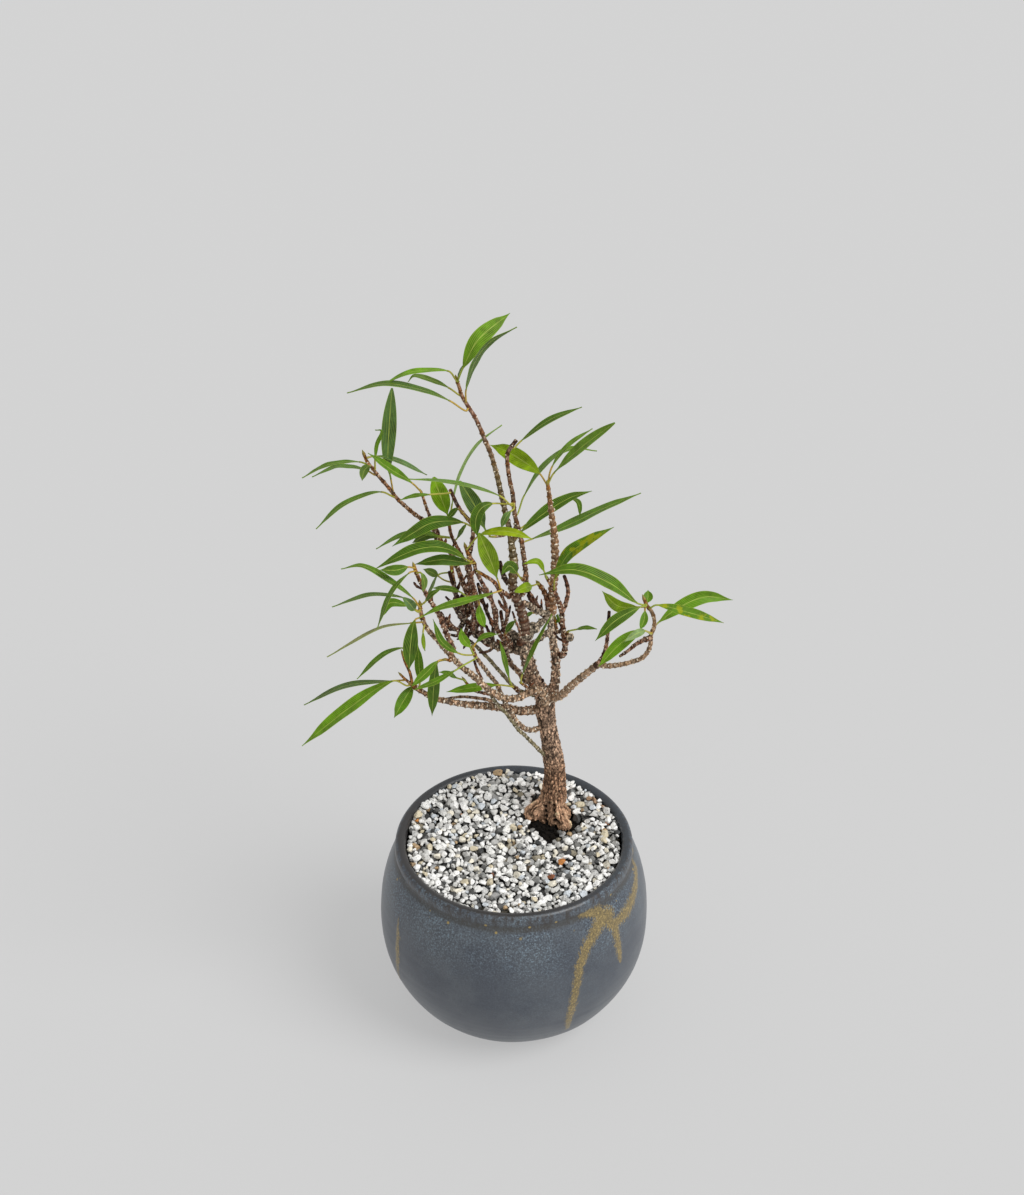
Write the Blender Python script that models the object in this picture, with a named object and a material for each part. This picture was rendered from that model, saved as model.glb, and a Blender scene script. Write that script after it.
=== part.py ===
"""Willow leaf fig bonsai in a round glazed pot, in metres, +Z up.

The origin is the middle of the pot's flat underside. The tree's wood is one solid, and each
leafy shoot that grows from the end of a twig is another. The points of the wood and leaves
were read by eye off the photograph: each is two pixels and a depth in millimetres behind the
pot's axis, which sight() turns into a place in the model.
"""
from math import acos, atan2, cos, pi, radians, sin
import random

import bmesh
import bpy
from mathutils import Vector

MM = 0.001
GAP = 0.3 * MM

# The view that the tree's points were read in
EYE = Vector((-0.9, -912.5, 865.1)) * MM
PITCH = radians(35.3)
FOCAL_PX = 2700.0
MIDDLE_PX = (512.0, 597.5)
AHEAD = Vector((0, cos(PITCH), -sin(PITCH)))
UP = Vector((0, sin(PITCH), cos(PITCH)))
RIGHT = Vector((1, 0, 0))

# Pot: outline of the turned body, radius and height
POT_SIDES = 32
POT_HEIGHT = 88 * MM
POT_BELLY = 60 * MM
BELLY_HEIGHT = 47 * MM
FLOOR = 6 * MM
SHOULDER = [(59.6, 56), (58.6, 64), (56.6, 72), (54.0, 78.5), (51.6, 82)]
LIP = [(52.1, 84), (51.9, 86.8), (50.3, 88), (48.4, 87.2), (47.9, 84.5)]
INSIDE = [(49.2, 79), (53.4, 66), (55.2, 50), (53.0, 32), (46.0, 15)]
FLOOR_RADIUS = 33 * MM
DRAIN_HOLES = 3
DRAIN_RADIUS = 4.5 * MM
DRAIN_CIRCLE = 19 * MM
MESH_SIDE = 15 * MM
MESH_THICKNESS = 1.2 * MM
MESH_CELLS = 5

# Soil and gravel
SOIL_SIDES = 28
SOIL_TOP = 79.5 * MM
SOIL_AT_FOOT = 82.4 * MM
GRAVEL_TOP = 83.6 * MM
GRAVEL_RADIUS = 47.4 * MM
GRAVEL_RINGS = 15
GRAIN_RISE = 2.4 * MM
CLEARING = [(-14, 7), (-12.5, 1), (-14, -5), (-9, -11), (-6, -21), (2, -21), (3.5, -13),
            (9, -13.5), (13.5, -7), (12, 3), (8, 10), (-1, 13), (-9, 12)]

# Foot of the trunk, where it leaves the soil, and its root below
FOOT = Vector((17.4, 21.5, 84.0)) * MM
ROOT_DEPTH = 22 * MM
ROOT_RADIUS = (7.0 * MM, 5.0 * MM)
ROOT_SIDES = 12
TRUNK_SIDES = 10
TRUNK = [(552, 815, 21.5, 7.0), (553, 800, 22, 6.2), (554, 788, 22, 5.4), (555, 772, 22, 4.8),
         (553, 756, 22, 4.7), (550, 738, 22, 4.1), (547, 722, 22, 4.0), (545, 708, 22, 4.6),
         (546, 697, 22, 4.0)]
LOBES = [(-8.6, -1.5, 4.0), (0.4, -6.2, 2.6), (5.6, -7.6, 3.3), (8.2, -0.6, 3.0),
         (-2.5, 6.5, 3.6), (4.5, 6.0, 3.2)]
LOBE_TOP = 13 * MM

# Swollen wood where several stems meet, and the gall on the right-hand stem: a point and radius
KNOTS = [(520, 645, 20, 4.4), (511, 638, 21, 3.7), (526, 634, 19, 3.5), (533, 628, 19, 2.7),
         (507, 648, 20, 2.7), (570, 637, 19, 1.9)]

# Branches: what each grows from, its radius there and at its end in mm, the point from which
# it is a leafy shoot (None where it is bare to the end), and its points
BRANCHES = {
    "left_stem": ("trunk", 3.3, 2.8, None, [
        (537, 686, 22), (530.5, 671, 21), (527, 657, 20), (521, 645, 20)]),
    "right_stem": ("trunk", 2.3, 1.5, None, [
        (553, 690, 23), (555.5, 674, 24), (555.5, 656, 25), (553, 640, 26), (551, 622, 27),
        (551.5, 612, 26.7)]),
    "orange_tip": ("right_stem", 1.5, 0.9, 2, [
        (549, 606, 26), (547, 598, 25), (542.5, 589, 24), (538.5, 583.5, 23)]),
    "right_fork": ("right_stem", 1.25, 1.1, None, [
        (563, 655, 23), (565, 645, 21), (563.5, 635, 19), (562.5, 622, 18), (562, 611, 17)]),
    "gall_neck": ("right_fork", 1.0, 1.0, None, [(570, 637, 19)]),
    "fork_spray": ("right_fork", 0.75, 0.6, 0, [(566.5, 634, 16), (568, 632, 14)]),
    "dark_twiglet": ("right_fork", 0.8, 0.6, 1, [
        (558, 632, 17), (556, 625, 15), (555, 619, 14)]),
    "dark_tip": ("right_fork", 1.1, 0.85, None, [
        (566, 602, 18), (568, 592, 19), (566.5, 582, 20), (564.5, 576, 21)]),
    "heart": ("right_fork", 1.05, 0.7, 1, [
        (558.5, 601, 15), (555, 593, 13), (549.5, 583, 12), (546.5, 577.5, 11)]),
    "tall_right": ("right_stem", 1.7, 0.85, 6, [
        (552, 603, 26), (553, 587, 23), (555, 569, 20), (555, 550, 16), (554, 533, 13),
        (551.5, 514, 10), (549.5, 498, 8), (547.5, 484, 6)]),
    "right_branch": ("trunk", 1.8, 1.4, None, [
        (560, 696, 18), (573, 684, 14), (586, 674, 10), (598, 664, 6)]),
    "right_bare": ("right_branch", 1.0, 0.85, None, [
        (604, 654, 7), (607, 640, 8), (608.5, 624, 9), (609, 612, 10)]),
    "right_low": ("right_branch", 1.1, 0.8, 6, [
        (607, 666, 5), (619, 665, 4), (632, 662, 3), (642, 658.5, 2), (648, 651, 1),
        (650.5, 643, 0), (651, 635, 0), (654, 627, 0), (654, 618, 0), (651, 611, 0),
        (647, 606, 0), (644.5, 600, 1)]),
    "right_spur": ("right_low", 1.1, 0.6, None, [
        (643, 640.5, -2), (635, 645, -4), (629, 650, -5), (620, 656, -6)]),
    "low_left": ("trunk", 2.0, 1.0, 7, [
        (524, 711, 19), (511, 709, 16), (497, 707, 13), (483, 705.5, 10), (467, 704.5, 7),
        (449, 701.5, 4), (433, 698, 2), (423, 692, 0), (416, 688, -1), (411, 684, -2)]),
    "low_thin": ("low_left", 0.8, 0.55, None, [
        (491, 701, 14), (476, 698, 13), (461, 697, 12), (446, 699, 11)]),
    "loop": ("trunk", 1.2, 0.8, 9, [
        (533, 730, 19), (524, 728, 16), (517, 722, 14), (512, 714, 13), (507, 706, 13),
        (501, 694, 14), (496, 683, 14), (488, 673, 11), (482, 665, 7), (479, 661, 5),
        (475, 655, 3), (472.5, 648, 1)]),
    "thin_olive": ("trunk", 0.9, 0.7, None, [
        (537, 747, 18), (528, 739, 15), (519, 730, 11), (512, 721, 9), (505, 712, 8),
        (497, 704, 7), (487, 689, 4)]),
    "pale_olive": ("right_stem", 1.0, 0.75, None, [
        (535, 695, 22), (522, 692, 20), (514, 687, 20), (505, 677, 20), (496, 667, 21),
        (487, 657, 22), (479, 649, 23)]),
    "olive_spur": ("pale_olive", 0.85, 0.65, 1, [
        (518, 691, 17), (515, 688.5, 14), (512.5, 686.5, 12)]),
    "stem_spur": ("left_stem", 0.8, 0.6, 1, [
        (530, 688, 16), (525, 686, 13), (521, 683, 10)]),
    "dark_link": ("left_stem", 1.2, 1.1, None, [
        (525, 680, 26), (518, 671, 27), (511, 664, 26), (507, 656, 23), (506, 649, 21)]),
    "speckled": ("trunk", 1.8, 0.9, 13, [
        (540, 691, 17), (533, 689.5, 14), (526, 694, 12), (518, 698, 10), (508, 699, 8),
        (499, 696.5, 6), (490, 690.5, 4), (481, 683, 2), (471, 674, 0), (462, 667, -2),
        (455, 660, -3), (446, 650, -5), (438, 641, -7), (431, 633, -9), (425, 625, -10),
        (421, 614, -10), (420, 605, -10)]),
    "speckled_reddish": ("speckled", 0.75, 0.6, None, [
        (481, 678, 5), (477, 669, 7), (474.5, 661, 9)]),
    "speckled_stub": ("speckled", 0.8, 0.6, 2, [
        (481, 692.5, 12), (471, 689, 15), (467, 684, 15), (464.5, 680.5, 15)]),
    "speckled_spur": ("speckled", 0.8, 0.6, 0, [
        (451, 660, -8), (446, 659.5, -11)]),
    "speckled_up": ("speckled", 1.2, 0.8, 7, [
        (452.5, 649, -3), (448, 638, -3), (444, 627, -4), (440, 617, -5), (435, 608, -6),
        (428.5, 598, -7), (422, 586, -8), (417, 575, -9), (414, 567, -9)]),
    "left_limb": ("left_stem", 2.0, 1.3, None, [
        (510, 648, 20), (500, 647, 22), (490, 643, 24), (481, 638, 26), (475, 631, 27),
        (469, 624, 28), (461, 617, 29)]),
    "tall_left": ("left_limb", 1.0, 0.7, 6, [
        (473.5, 620, 27), (471.5, 606, 27), (470.5, 592, 26), (469, 577, 24), (466, 565, 22),
        (461, 554, 20), (456, 545, 19), (451, 534, 18), (449, 522, 18)]),
    "dark_bare": ("left_limb", 0.9, 0.5, None, [(452, 604, 31), (446, 597, 32)]),
    "dark_hook": ("left_limb", 0.75, 0.6, None, [(464, 611, 31), (466, 604, 33), (463, 596, 35)]),
    "dark_twig": ("left_limb", 1.2, 0.9, 2, [
        (457.5, 603, 30), (455.5, 593, 31), (454, 585, 32), (452.5, 575, 33), (451.5, 567, 34)]),
    "low_dark": ("left_limb", 1.0, 0.7, None, [
        (459, 629, 23), (450, 626, 17), (445, 620, 13), (441, 613, 10)]),
    "low_dark_short": ("left_limb", 0.85, 0.55, None, [
        (466, 637, 23), (457, 636, 19), (447, 634, 15)]),
    "upper_left": ("left_limb", 1.2, 0.7, 10, [
        (469, 612, 30), (469, 600, 30), (465.5, 589, 29), (461, 577, 28), (456, 564, 27),
        (450, 552, 26), (443, 544, 25), (436.5, 533, 24), (428, 523, 23), (416, 515, 22),
        (404, 505, 20), (396, 497, 19), (388, 487, 18), (380, 478, 18), (373, 469, 18),
        (367, 462, 18), (364, 455, 18)]),
    "upper_twiglet": ("upper_left", 0.8, 0.6, 0, [
        (428, 514, 20), (425, 504, 18), (421.5, 493, 17)]),
    "mid_left": ("left_limb", 1.15, 0.65, 6, [
        (479, 621, 22), (477, 606, 19), (474, 590, 17), (471, 575, 16), (469, 561, 16),
        (471, 547, 16), (473, 536, 15), (472, 525, 15), (466, 517, 15), (460, 509, 15),
        (455, 500, 16), (450, 490, 16)]),
    "mid_spur": ("mid_left", 0.75, 0.6, 0, [(471.5, 598, 14), (468, 596.5, 11)]),
    "hanging_spur": ("mid_left", 0.75, 0.6, 0, [(478, 601, 15), (478.5, 601, 12)]),
    "front_left": ("left_limb", 1.1, 0.75, 4, [
        (497, 629, 14), (495, 615, 12), (492, 602, 11), (487, 591, 10), (481, 581, 9),
        (476, 571, 8), (474, 563, 8), (468, 554, 9), (465.5, 547, 9)]),
    "front_mid": ("left_limb", 0.95, 0.7, None, [
        (504, 629, 16), (507, 617, 13), (506, 607, 12), (503, 598, 11), (498, 590, 11)]),
    "inner_dark": ("left_limb", 0.95, 0.7, None, [
        (494, 628, 24), (489, 617, 25), (485, 607, 26), (481, 596, 27), (478, 584, 28)]),
    "knot_leaf": ("left_limb", 0.75, 0.6, 0, [(505, 635, 14), (505.5, 633, 11)]),
    "crown": ("left_stem", 2.3, 0.75, 15, [
        (525, 631, 18), (523, 618, 17), (520, 607, 16), (516, 597, 15), (512.5, 587, 14),
        (513.5, 574, 14), (514, 562, 14), (512, 548, 14), (510, 534, 14), (507, 519, 14),
        (503, 502, 13), (499, 484, 12), (494, 464, 11), (489, 449, 10), (484, 438, 10),
        (480, 428, 10), (474, 416, 10), (467, 405, 10), (462, 396, 10), (459, 387, 10),
        (457, 380, 10)]),
    "front_orange": ("crown", 1.1, 0.75, 1, [
        (511, 597, 10), (504, 592.5, 7), (499, 589, 5), (493, 581, 4), (485, 576, 4),
        (480, 573, 4)]),
    "crown_dark": ("crown", 1.2, 0.9, None, [(506, 580, 17), (502, 571, 20), (500, 562, 22)]),
    "crown_spur": ("crown", 0.8, 0.6, 0, [(500, 531, 12), (491, 530.5, 11)]),
    "tall_middle": ("crown", 1.3, 0.6, 3, [
        (524, 592, 16), (526, 579, 16), (525, 566, 15), (523, 552, 14), (521, 536, 13),
        (518.5, 524, 12), (516, 511, 11), (512.5, 496, 10), (510, 481, 10), (507.5, 466, 11),
        (508, 453, 12), (512, 446, 13), (516.5, 440, 14)]),
    "middle_spur": ("tall_middle", 0.75, 0.6, 0, [(523, 580, 12), (521.5, 578.5, 10)]),
    "low_link": ("right_stem", 1.2, 1.3, None, [(545, 634, 25), (537, 641, 22), (529, 646, 20)]),
    "mid_link": ("right_stem", 1.3, 1.5, None, [(543, 621, 24), (536, 627, 21), (530, 634, 19)]),
    "back_twig": ("right_stem", 1.3, 0.9, None, [
        (542, 614, 27), (536.5, 605, 29), (531.5, 597, 31), (528, 591, 32)]),
    "back_spur": ("back_twig", 0.75, 0.6, 0, [(541, 612.5, 31), (540, 613, 34)]),
    "bridge": ("right_stem", 1.2, 1.1, None, [(538, 612, 21), (531, 606, 18), (523, 602, 16)]),
}

# Short bare side stems inside a leafy shoot: radius at the start and end, and points
SIDE_STEMS = {
    "low_left": [(0.75, 0.5, [(410, 673, -3), (405, 662, -3), (402.5, 654, -3)]),
                 (0.7, 0.5, [(405, 679, -3), (401, 675, -4)])],
}

# Leaves of each leafy shoot: seen width in pixels, the point where the blade starts, points
LEAVES = {
    "crown": [
        (22, 1, [(458, 380, 9), (463, 368, 9), (478, 340, 14), (510, 313, 24)]),
        (6, 1, [(466, 402, 9), (466, 390, 7), (475, 362, 3), (490, 342, 2), (517, 327, 4)]),
        (3, 0, [(458, 378, 11), (461, 371, 13), (464, 364, 14)]),
        (5, 1, [(456, 380, 9), (448, 371, 7), (420, 371, 3), (405, 374, 1), (384, 384, 0)]),
        (5, 1, [(459, 395, 12), (449, 388, 13), (430, 380, 16), (414, 376, 18), (408, 382, 18)]),
        (6, 1, [(466, 411, 8), (450, 401, 5), (425, 391, 2), (385, 384, -3), (347, 393, -6)])],
    "upper_left": [
        (15, 1, [(393, 492, 19), (391, 480, 20), (388, 462, 22), (389, 430, 26), (392, 388, 32)]),
        (4, 1, [(375, 470, 18), (375, 460, 19), (376, 445, 21), (381, 431, 22), (375, 430, 22)]),
        (4, 1, [(367, 464, 18), (360, 462, 16), (345, 462, 12), (325, 466, 8), (302, 478, 4)]),
        (4, 1, [(375, 475, 18), (368, 471, 20), (352, 467, 24), (335, 467, 28), (312, 477, 30)]),
        (9, 1, [(370, 466, 17), (369, 466, 14), (364, 471, 10), (362, 481, 8)]),
        (5, 1, [(394, 497, 18), (382, 492, 15), (365, 495, 11), (340, 507, 6), (316, 529, 2)]),
        (5, 1, [(366, 458, 18), (376, 456, 20), (398, 461, 24), (427, 475, 28)])],
    "upper_twiglet": [
        (5, 1, [(421, 492, 16), (412, 483, 14), (390, 469, 10), (368, 453, 6)])],
    "mid_left": [
        (4, 1, [(449, 493, 15), (430, 494.5, 12), (415, 496, 10), (400, 500, 8)]),
        (6, 1, [(468, 519, 14), (458, 509, 11), (453, 513, 10), (448, 519, 9)]),
        (14, 1, [(470, 525, 12), (460, 521, 10), (430, 520, 7), (412, 528, 5), (392, 545, 2)])],
    "tall_left": [
        (17, 1, [(449, 521, 18), (448, 514, 18), (441, 500, 20), (434, 480, 23)]),
        (4, 1, [(450, 521, 18), (452, 505, 19), (459, 475, 22), (476, 445, 25), (502, 425, 27)]),
        (5, 1, [(453, 538, 19), (440, 536, 17), (420, 533, 15), (400, 536, 14), (376, 549, 12)]),
        (9, 1, [(452, 538, 19), (438, 537, 19), (428, 535, 18), (412, 543, 18)]),
        (5, 1, [(454, 541, 20), (458, 538, 21), (462, 531, 22), (467, 523, 24)])],
    "tall_middle": [
        (4, 1, [(512, 506, 8), (500, 496, 4), (470, 486, -2), (440, 481, -6), (408, 479, -10)]),
        (14, 1, [(511, 504, 9), (492, 504, 4), (478, 510, 1), (473, 522, 0), (477, 539, 0)]),
        (7, 1, [(514, 509, 6), (511, 511, 5), (506, 517, 3), (501, 528, 1)]),
        (6, 1, [(518, 513, 13), (524, 496, 17), (545, 465, 22), (570, 449, 24), (597, 451, 25)]),
        (6, 1, [(514, 448, 14), (521, 441, 15), (550, 420, 18), (582, 407, 20)]),
        (13, 1, [(520, 531, 14), (526, 528, 15), (545, 512, 20), (570, 498, 24), (592, 491, 26)]),
        (8, 1, [(522, 543, 15), (532, 539, 17), (560, 529, 23), (600, 510, 28), (641, 493, 32)]),
        (5, 2, [(520, 529, 15), (545, 513, 24), (570, 499, 28), (578, 503, 28), (580, 516, 27)])],
    "tall_right": [
        (20, 1, [(546, 483, 7), (540, 474, 9), (523, 461, 19), (506, 451, 26), (490, 445, 32)]),
        (6, 1, [(548, 482, 6), (553, 466, 7), (570, 443, 11), (593, 428, 14)]),
        (12, 1, [(549, 482, 6), (554, 473, 5), (580, 447, 2), (615, 423, 0)])],
    "crown_spur": [
        (15, 1, [(488, 529, 10), (485, 524, 10), (476, 505, 10), (459, 482, 8)])],
    "front_left": [
        (11, 1, [(472, 562, 7), (462, 561, 6), (440, 558, 4), (416, 563, 3)]),
        (12, 1, [(469, 558, 7), (460, 552, 5), (440, 543, 2), (410, 549, -1), (375, 569, -3)]),
        (7, 1, [(467, 549, 8), (480, 534, 6), (500, 527, 5), (517, 531, 4), (533, 539, 3)])],
    "front_orange": [
        (17, 1, [(500, 588, 4), (497, 578, 3), (490, 560, 0), (478, 537, -5)]),
        (7, 1, [(502, 590, 4), (493, 593, 2), (465, 601, -5), (440, 608, -11), (419, 618, -16)])],
    "middle_spur": [
        (9, 1, [(520, 577.5, 9), (516, 573, 8), (508, 567, 5), (501, 574, 3)])],
    "heart": [
        (14, 1, [(554, 590, 12), (555, 579, 11), (568, 555, 9), (590, 540, 8), (614, 527, 8)]),
        (6, 1, [(546, 577, 10), (544, 571, 9), (537, 562, 8), (523, 564, 7)])],
    "orange_tip": [
        (8, 1, [(538, 584, 21), (533, 585, 18), (524, 586, 10), (514, 591, 6)])],
    "right_low": [
        (15, 1, [(645, 605, -1), (637, 603, -2), (610, 582, -5), (575, 568, -4), (539, 575, -2)]),
        (12, 1, [(645, 607, 1), (637, 607, 2), (618, 606, 4), (602, 591, 6)]),
        (12, 1, [(646, 606, -2), (640, 607, -4), (615, 621, -9), (595, 641, -13)]),
        (10, 1, [(647, 606, 2), (647, 603, 3), (648, 597, 5), (648, 590, 7)]),
        (8, 1, [(645, 608, -1), (645, 611, -3), (644, 620, -6), (640, 630, -9)]),
        (13, 1, [(652, 633, -1), (641, 631, -5), (620, 644, -12), (598, 667, -17)]),
        (8, 1, [(651, 634, -2), (645, 631, -9), (636, 634, -14), (624, 642, -18)]),
        (12, 1, [(655, 626, 1), (659, 622, 3), (680, 607, 8), (705, 597, 12), (733, 600, 14)]),
        (8, 1, [(650, 608, -1), (657, 605, -2), (690, 613, -4), (724, 623, -6)])],
    "fork_spray": [
        (4, 1, [(569, 631, 13), (576, 629.5, 12), (585, 628, 11), (597, 629, 10)])],
    "dark_twiglet": [
        (4, 0, [(556, 622, 14), (558, 619, 13), (558, 614, 12)])],
    "back_spur": [
        (4, 1, [(539, 613, 34), (533, 613, 34), (529, 614.5, 34), (525, 616, 34)])],
    "knot_leaf": [
        (6, 0, [(506, 632, 10), (510, 627, 9), (516, 620, 9)])],
    "olive_spur": [
        (9, 1, [(512, 686.5, 11), (497, 685, 9), (470, 688, 9), (446, 692, 7)]),
        (5, 1, [(511, 684, 11), (509, 678, 10), (503, 657, 8), (500, 641, 7)])],
    "stem_spur": [
        (5, 1, [(521, 681, 9), (522, 675, 8), (535, 647, 6), (552, 614, 8)])],
    "speckled_stub": [
        (5, 1, [(464, 680, 14), (457, 678, 13), (449, 674, 11), (439, 672, 9)])],
    "speckled_spur": [
        (9, 1, [(445, 659.5, -11), (438, 661, -13), (427, 672, -16), (411, 687, -19)]),
        (12, 1, [(444, 660, -10), (437, 663, -8), (434, 685, -6), (432, 716, -4)])],
    "speckled_up": [
        (11, 1, [(414, 568, -10), (408, 567, -11), (397, 570, -14), (380, 570, -18)]),
        (5, 1, [(415, 571, -10), (409, 573, -13), (392, 592, -21), (377, 629, -27)]),
        (6, 1, [(417, 573, -10), (421, 573, -13), (424, 582, -14), (423, 592, -15)])],
    "speckled": [
        (6, 1, [(420, 608, -11), (413, 598, -13), (390, 581, -14), (362, 566, -14),
                (341, 569, -15)]),
        (9, 1, [(419, 611, -12), (408, 606, -14), (390, 603, -15), (380, 619, -16)]),
        (4, 1, [(419, 606, -9), (405, 598, -8), (370, 595, -6), (332, 607, -6)]),
        (10, 1, [(419, 612, -13), (415, 610, -16), (409, 603, -19), (402, 597, -21)]),
        (3, 1, [(422, 622, -11), (411, 623, -12), (380, 628, -13), (327, 657, -15)]),
        (13, 1, [(421, 617, -12), (415, 620, -14), (411, 640, -16), (409, 670, -17)]),
        (4, 1, [(424, 627, -12), (423, 632, -13), (423, 640, -14), (425, 651, -14)]),
        (5, 1, [(420, 606, -11), (426, 601, -12), (432, 594, -12), (441, 589, -11)])],
    "loop": [
        (7, 1, [(473, 655, 1), (458, 653, -9), (441, 641, -12), (433, 619, -10)]),
        (9, 1, [(473, 653, 1), (470, 647, -1), (463, 638, -3), (461, 628, -4)]),
        (5, 1, [(473, 648, 1), (476, 643, 2), (485, 636, 4), (498, 634, 6)]),
        (6, 2, [(476, 658, 2), (464, 665, -7), (456, 670, -9), (435, 682, -14), (414, 690, -21)])],
    "low_left": [
        (9, 1, [(418, 689, -1), (420, 683, 0), (419, 665, 2), (418, 645, 5)]),
        (14, 1, [(408, 686, -3), (393, 681, -5), (352, 706, -12), (302, 746, -20)]),
        (8, 1, [(405, 680, -3), (392, 681, -2), (345, 686, 2), (304, 705, 2)]),
        (12, 1, [(413, 688, -4), (409, 692, -8), (402, 702, -13), (395, 716, -18)]),
        (5, 1, [(403, 655, -3), (403, 648, -3), (383, 655, -5), (357, 679, -9)])],
    "mid_spur": [
        (6, 1, [(466, 596, 10), (460, 592, 9), (448, 589, 7), (432, 588, 5)])],
    "hanging_spur": [
        (9, 1, [(479, 602, 10), (479.5, 605, 8), (480, 614, 6), (485, 628, 5)])],
    "dark_twig": [
        (8, 2, [(452, 582, 30), (444, 580, 26), (438, 576, 23), (431, 572, 20), (423, 569, 17)]),
        (3, 1, [(451, 572, 31), (438, 575, 25), (432, 587, 20), (424, 604, 15)])],
}

# Blade and petiole: a blade is this share of its length across, within limits
BLADE_RATIO = 0.19
BLADE_WIDTH = (3.6 * MM, 9.5 * MM)
BLADE_THICK = 1.0 * MM
BLADE_FOLD = 0.13
PETIOLE = 1.1 * MM
LONG_BLADE = 26 * MM
STATIONS = {True: (0.1, 0.32, 0.58, 0.82), False: (0.16, 0.42, 0.74)}
SNAP = 0.9 * MM

COLOURS = {
    "pot": ((0.055, 0.075, 0.095), 0.35), "drain_mesh": ((0.02, 0.02, 0.02), 0.6),
    "soil": ((0.012, 0.009, 0.007), 0.95), "gravel": ((0.55, 0.52, 0.47), 0.85),
    "wood": ((0.17, 0.085, 0.05), 0.8), "leaf": ((0.045, 0.16, 0.02), 0.45),
}


def sight(across, down, behind):
    """The place seen at a pixel of the photograph, so many mm behind the pot's axis."""
    line = AHEAD + RIGHT * ((across - MIDDLE_PX[0]) / FOCAL_PX)
    line -= UP * ((down - MIDDLE_PX[1]) / FOCAL_PX)
    return EYE + line * ((behind * MM - EYE.y) / line.y)


def pixel_size(place):
    """Metres across one pixel of the photograph at a place."""
    return (place - EYE).dot(AHEAD) / FOCAL_PX


def material(name):
    colour, roughness = COLOURS[name]
    made = bpy.data.materials.new(name)
    made.use_nodes = True
    shader = made.node_tree.nodes["Principled BSDF"]
    shader.inputs["Base Color"].default_value = (*colour, 1)
    shader.inputs["Roughness"].default_value = roughness
    return made


def add_solid(name, places, faces, surface):
    """One object from its corners and faces."""
    mesh = bpy.data.meshes.new(name)
    mesh.from_pydata(places, [], faces)
    mesh.materials.append(surface)
    solid = bpy.data.objects.new(name, mesh)
    bpy.context.scene.collection.objects.link(solid)
    return solid


def combine(solid, others, operation="UNION"):
    """Unite the other solids with this one, or cut them from it, and remove them. Unions of
    many crossing twigs and leaves need the solver that keeps them closed."""
    group = bpy.data.collections.new(solid.name + "_pieces")
    bpy.context.scene.collection.children.link(group)
    for other in others:
        other.users_collection[0].objects.unlink(other)
        group.objects.link(other)
    step = solid.modifiers.new("combine", "BOOLEAN")
    step.operation = operation
    step.operand_type = "COLLECTION"
    step.collection = group
    step.solver = "MANIFOLD" if operation == "UNION" else "EXACT"
    bpy.context.view_layer.objects.active = solid
    bpy.ops.object.modifier_apply(modifier=step.name)
    for other in others:
        bpy.data.objects.remove(other)
    bpy.data.collections.remove(group)
    return solid


def keep_largest(solid):
    """Drop the loose scraps and fill the small sealed hollows that a union can leave."""
    bm = bmesh.new()
    bm.from_mesh(solid.data)
    islands, seen = [], set()
    for start in bm.verts:
        if start in seen:
            continue
        island, newest = {start}, {start}
        while newest:
            reached = {edge.other_vert(vert) for vert in newest for edge in vert.link_edges}
            newest = reached - island
            island |= newest
        seen |= island
        islands.append(island)
    body = max(islands, key=len)
    loose = [vert for vert in bm.verts if vert not in body]
    bmesh.ops.delete(bm, geom=loose, context="VERTS")
    bm.to_mesh(solid.data)
    bm.free()


def ring_faces(start, after, sides):
    """Two triangles a side between two rings of corners, split alike all round."""
    faces = []
    for side in range(sides):
        step = (side + 1) % sides
        faces += [(start + side, start + step, after + side),
                  (start + step, after + step, after + side)]
    return faces


def turned(name, outline, sides, surface):
    """A solid of revolution. Its outline of radius and height runs up the outside, from the
    axis to the axis."""
    places = [Vector((0, 0, outline[0][1]))]
    faces = []
    for radius, height in outline[1:-1]:
        turns = (2 * pi * side / sides for side in range(sides))
        places += [Vector((radius * cos(turn), radius * sin(turn), height)) for turn in turns]
    places.append(Vector((0, 0, outline[-1][1])))
    last = len(places) - 1 - sides
    for side in range(sides):
        step = (side + 1) % sides
        faces += [(0, 1 + step, 1 + side), (last + side, last + step, len(places) - 1)]
    for start in range(1, last, sides):
        faces += ring_faces(start, start + sides, sides)
    return add_solid(name, places, faces, surface)


def prism(name, outline, low, high, surface):
    """An upright prism between two heights."""
    count = len(outline)
    places = [Vector((x, y, low)) for x, y in outline] + [Vector((x, y, high)) for x, y in outline]
    faces = [tuple(reversed(range(count))), tuple(range(count, 2 * count))]
    faces += ring_faces(0, count, count)
    return add_solid(name, places, faces, surface)


def tangents(path):
    """Direction of the path at each of its points."""
    runs = [(b - a).normalized() for a, b in zip(path, path[1:])]
    middle = [(a + b).normalized() for a, b in zip(runs, runs[1:])]
    return [runs[0], *middle, runs[-1]]


def tube(name, path, radii, sides, surface, directions=None):
    """A round bar along a path, with flat ends."""
    places = []
    across = Vector((0.3, 1, 0.2))
    for place, ahead, radius in zip(path, directions or tangents(path), radii):
        across = (across - ahead * across.dot(ahead)).normalized()
        over = ahead.cross(across)
        for side in range(sides):
            turn = 2 * pi * side / sides
            places.append(place + (across * cos(turn) + over * sin(turn)) * radius)
    faces = [tuple(reversed(range(sides))), tuple(range(len(places) - sides, len(places)))]
    for start in range(0, len(places) - sides, sides):
        faces += ring_faces(start, start + sides, sides)
    return add_solid(name, places, faces, surface)


def lengths(path):
    """Distance along the path to each of its points."""
    total = [0.0]
    for a, b in zip(path, path[1:]):
        total.append(total[-1] + (b - a).length)
    return total


def taper(path, start, end):
    """Radius at each point of a path, from mm at its start and end."""
    total = lengths(path)
    return [(start + (end - start) * run / total[-1]) * MM for run in total]


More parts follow.
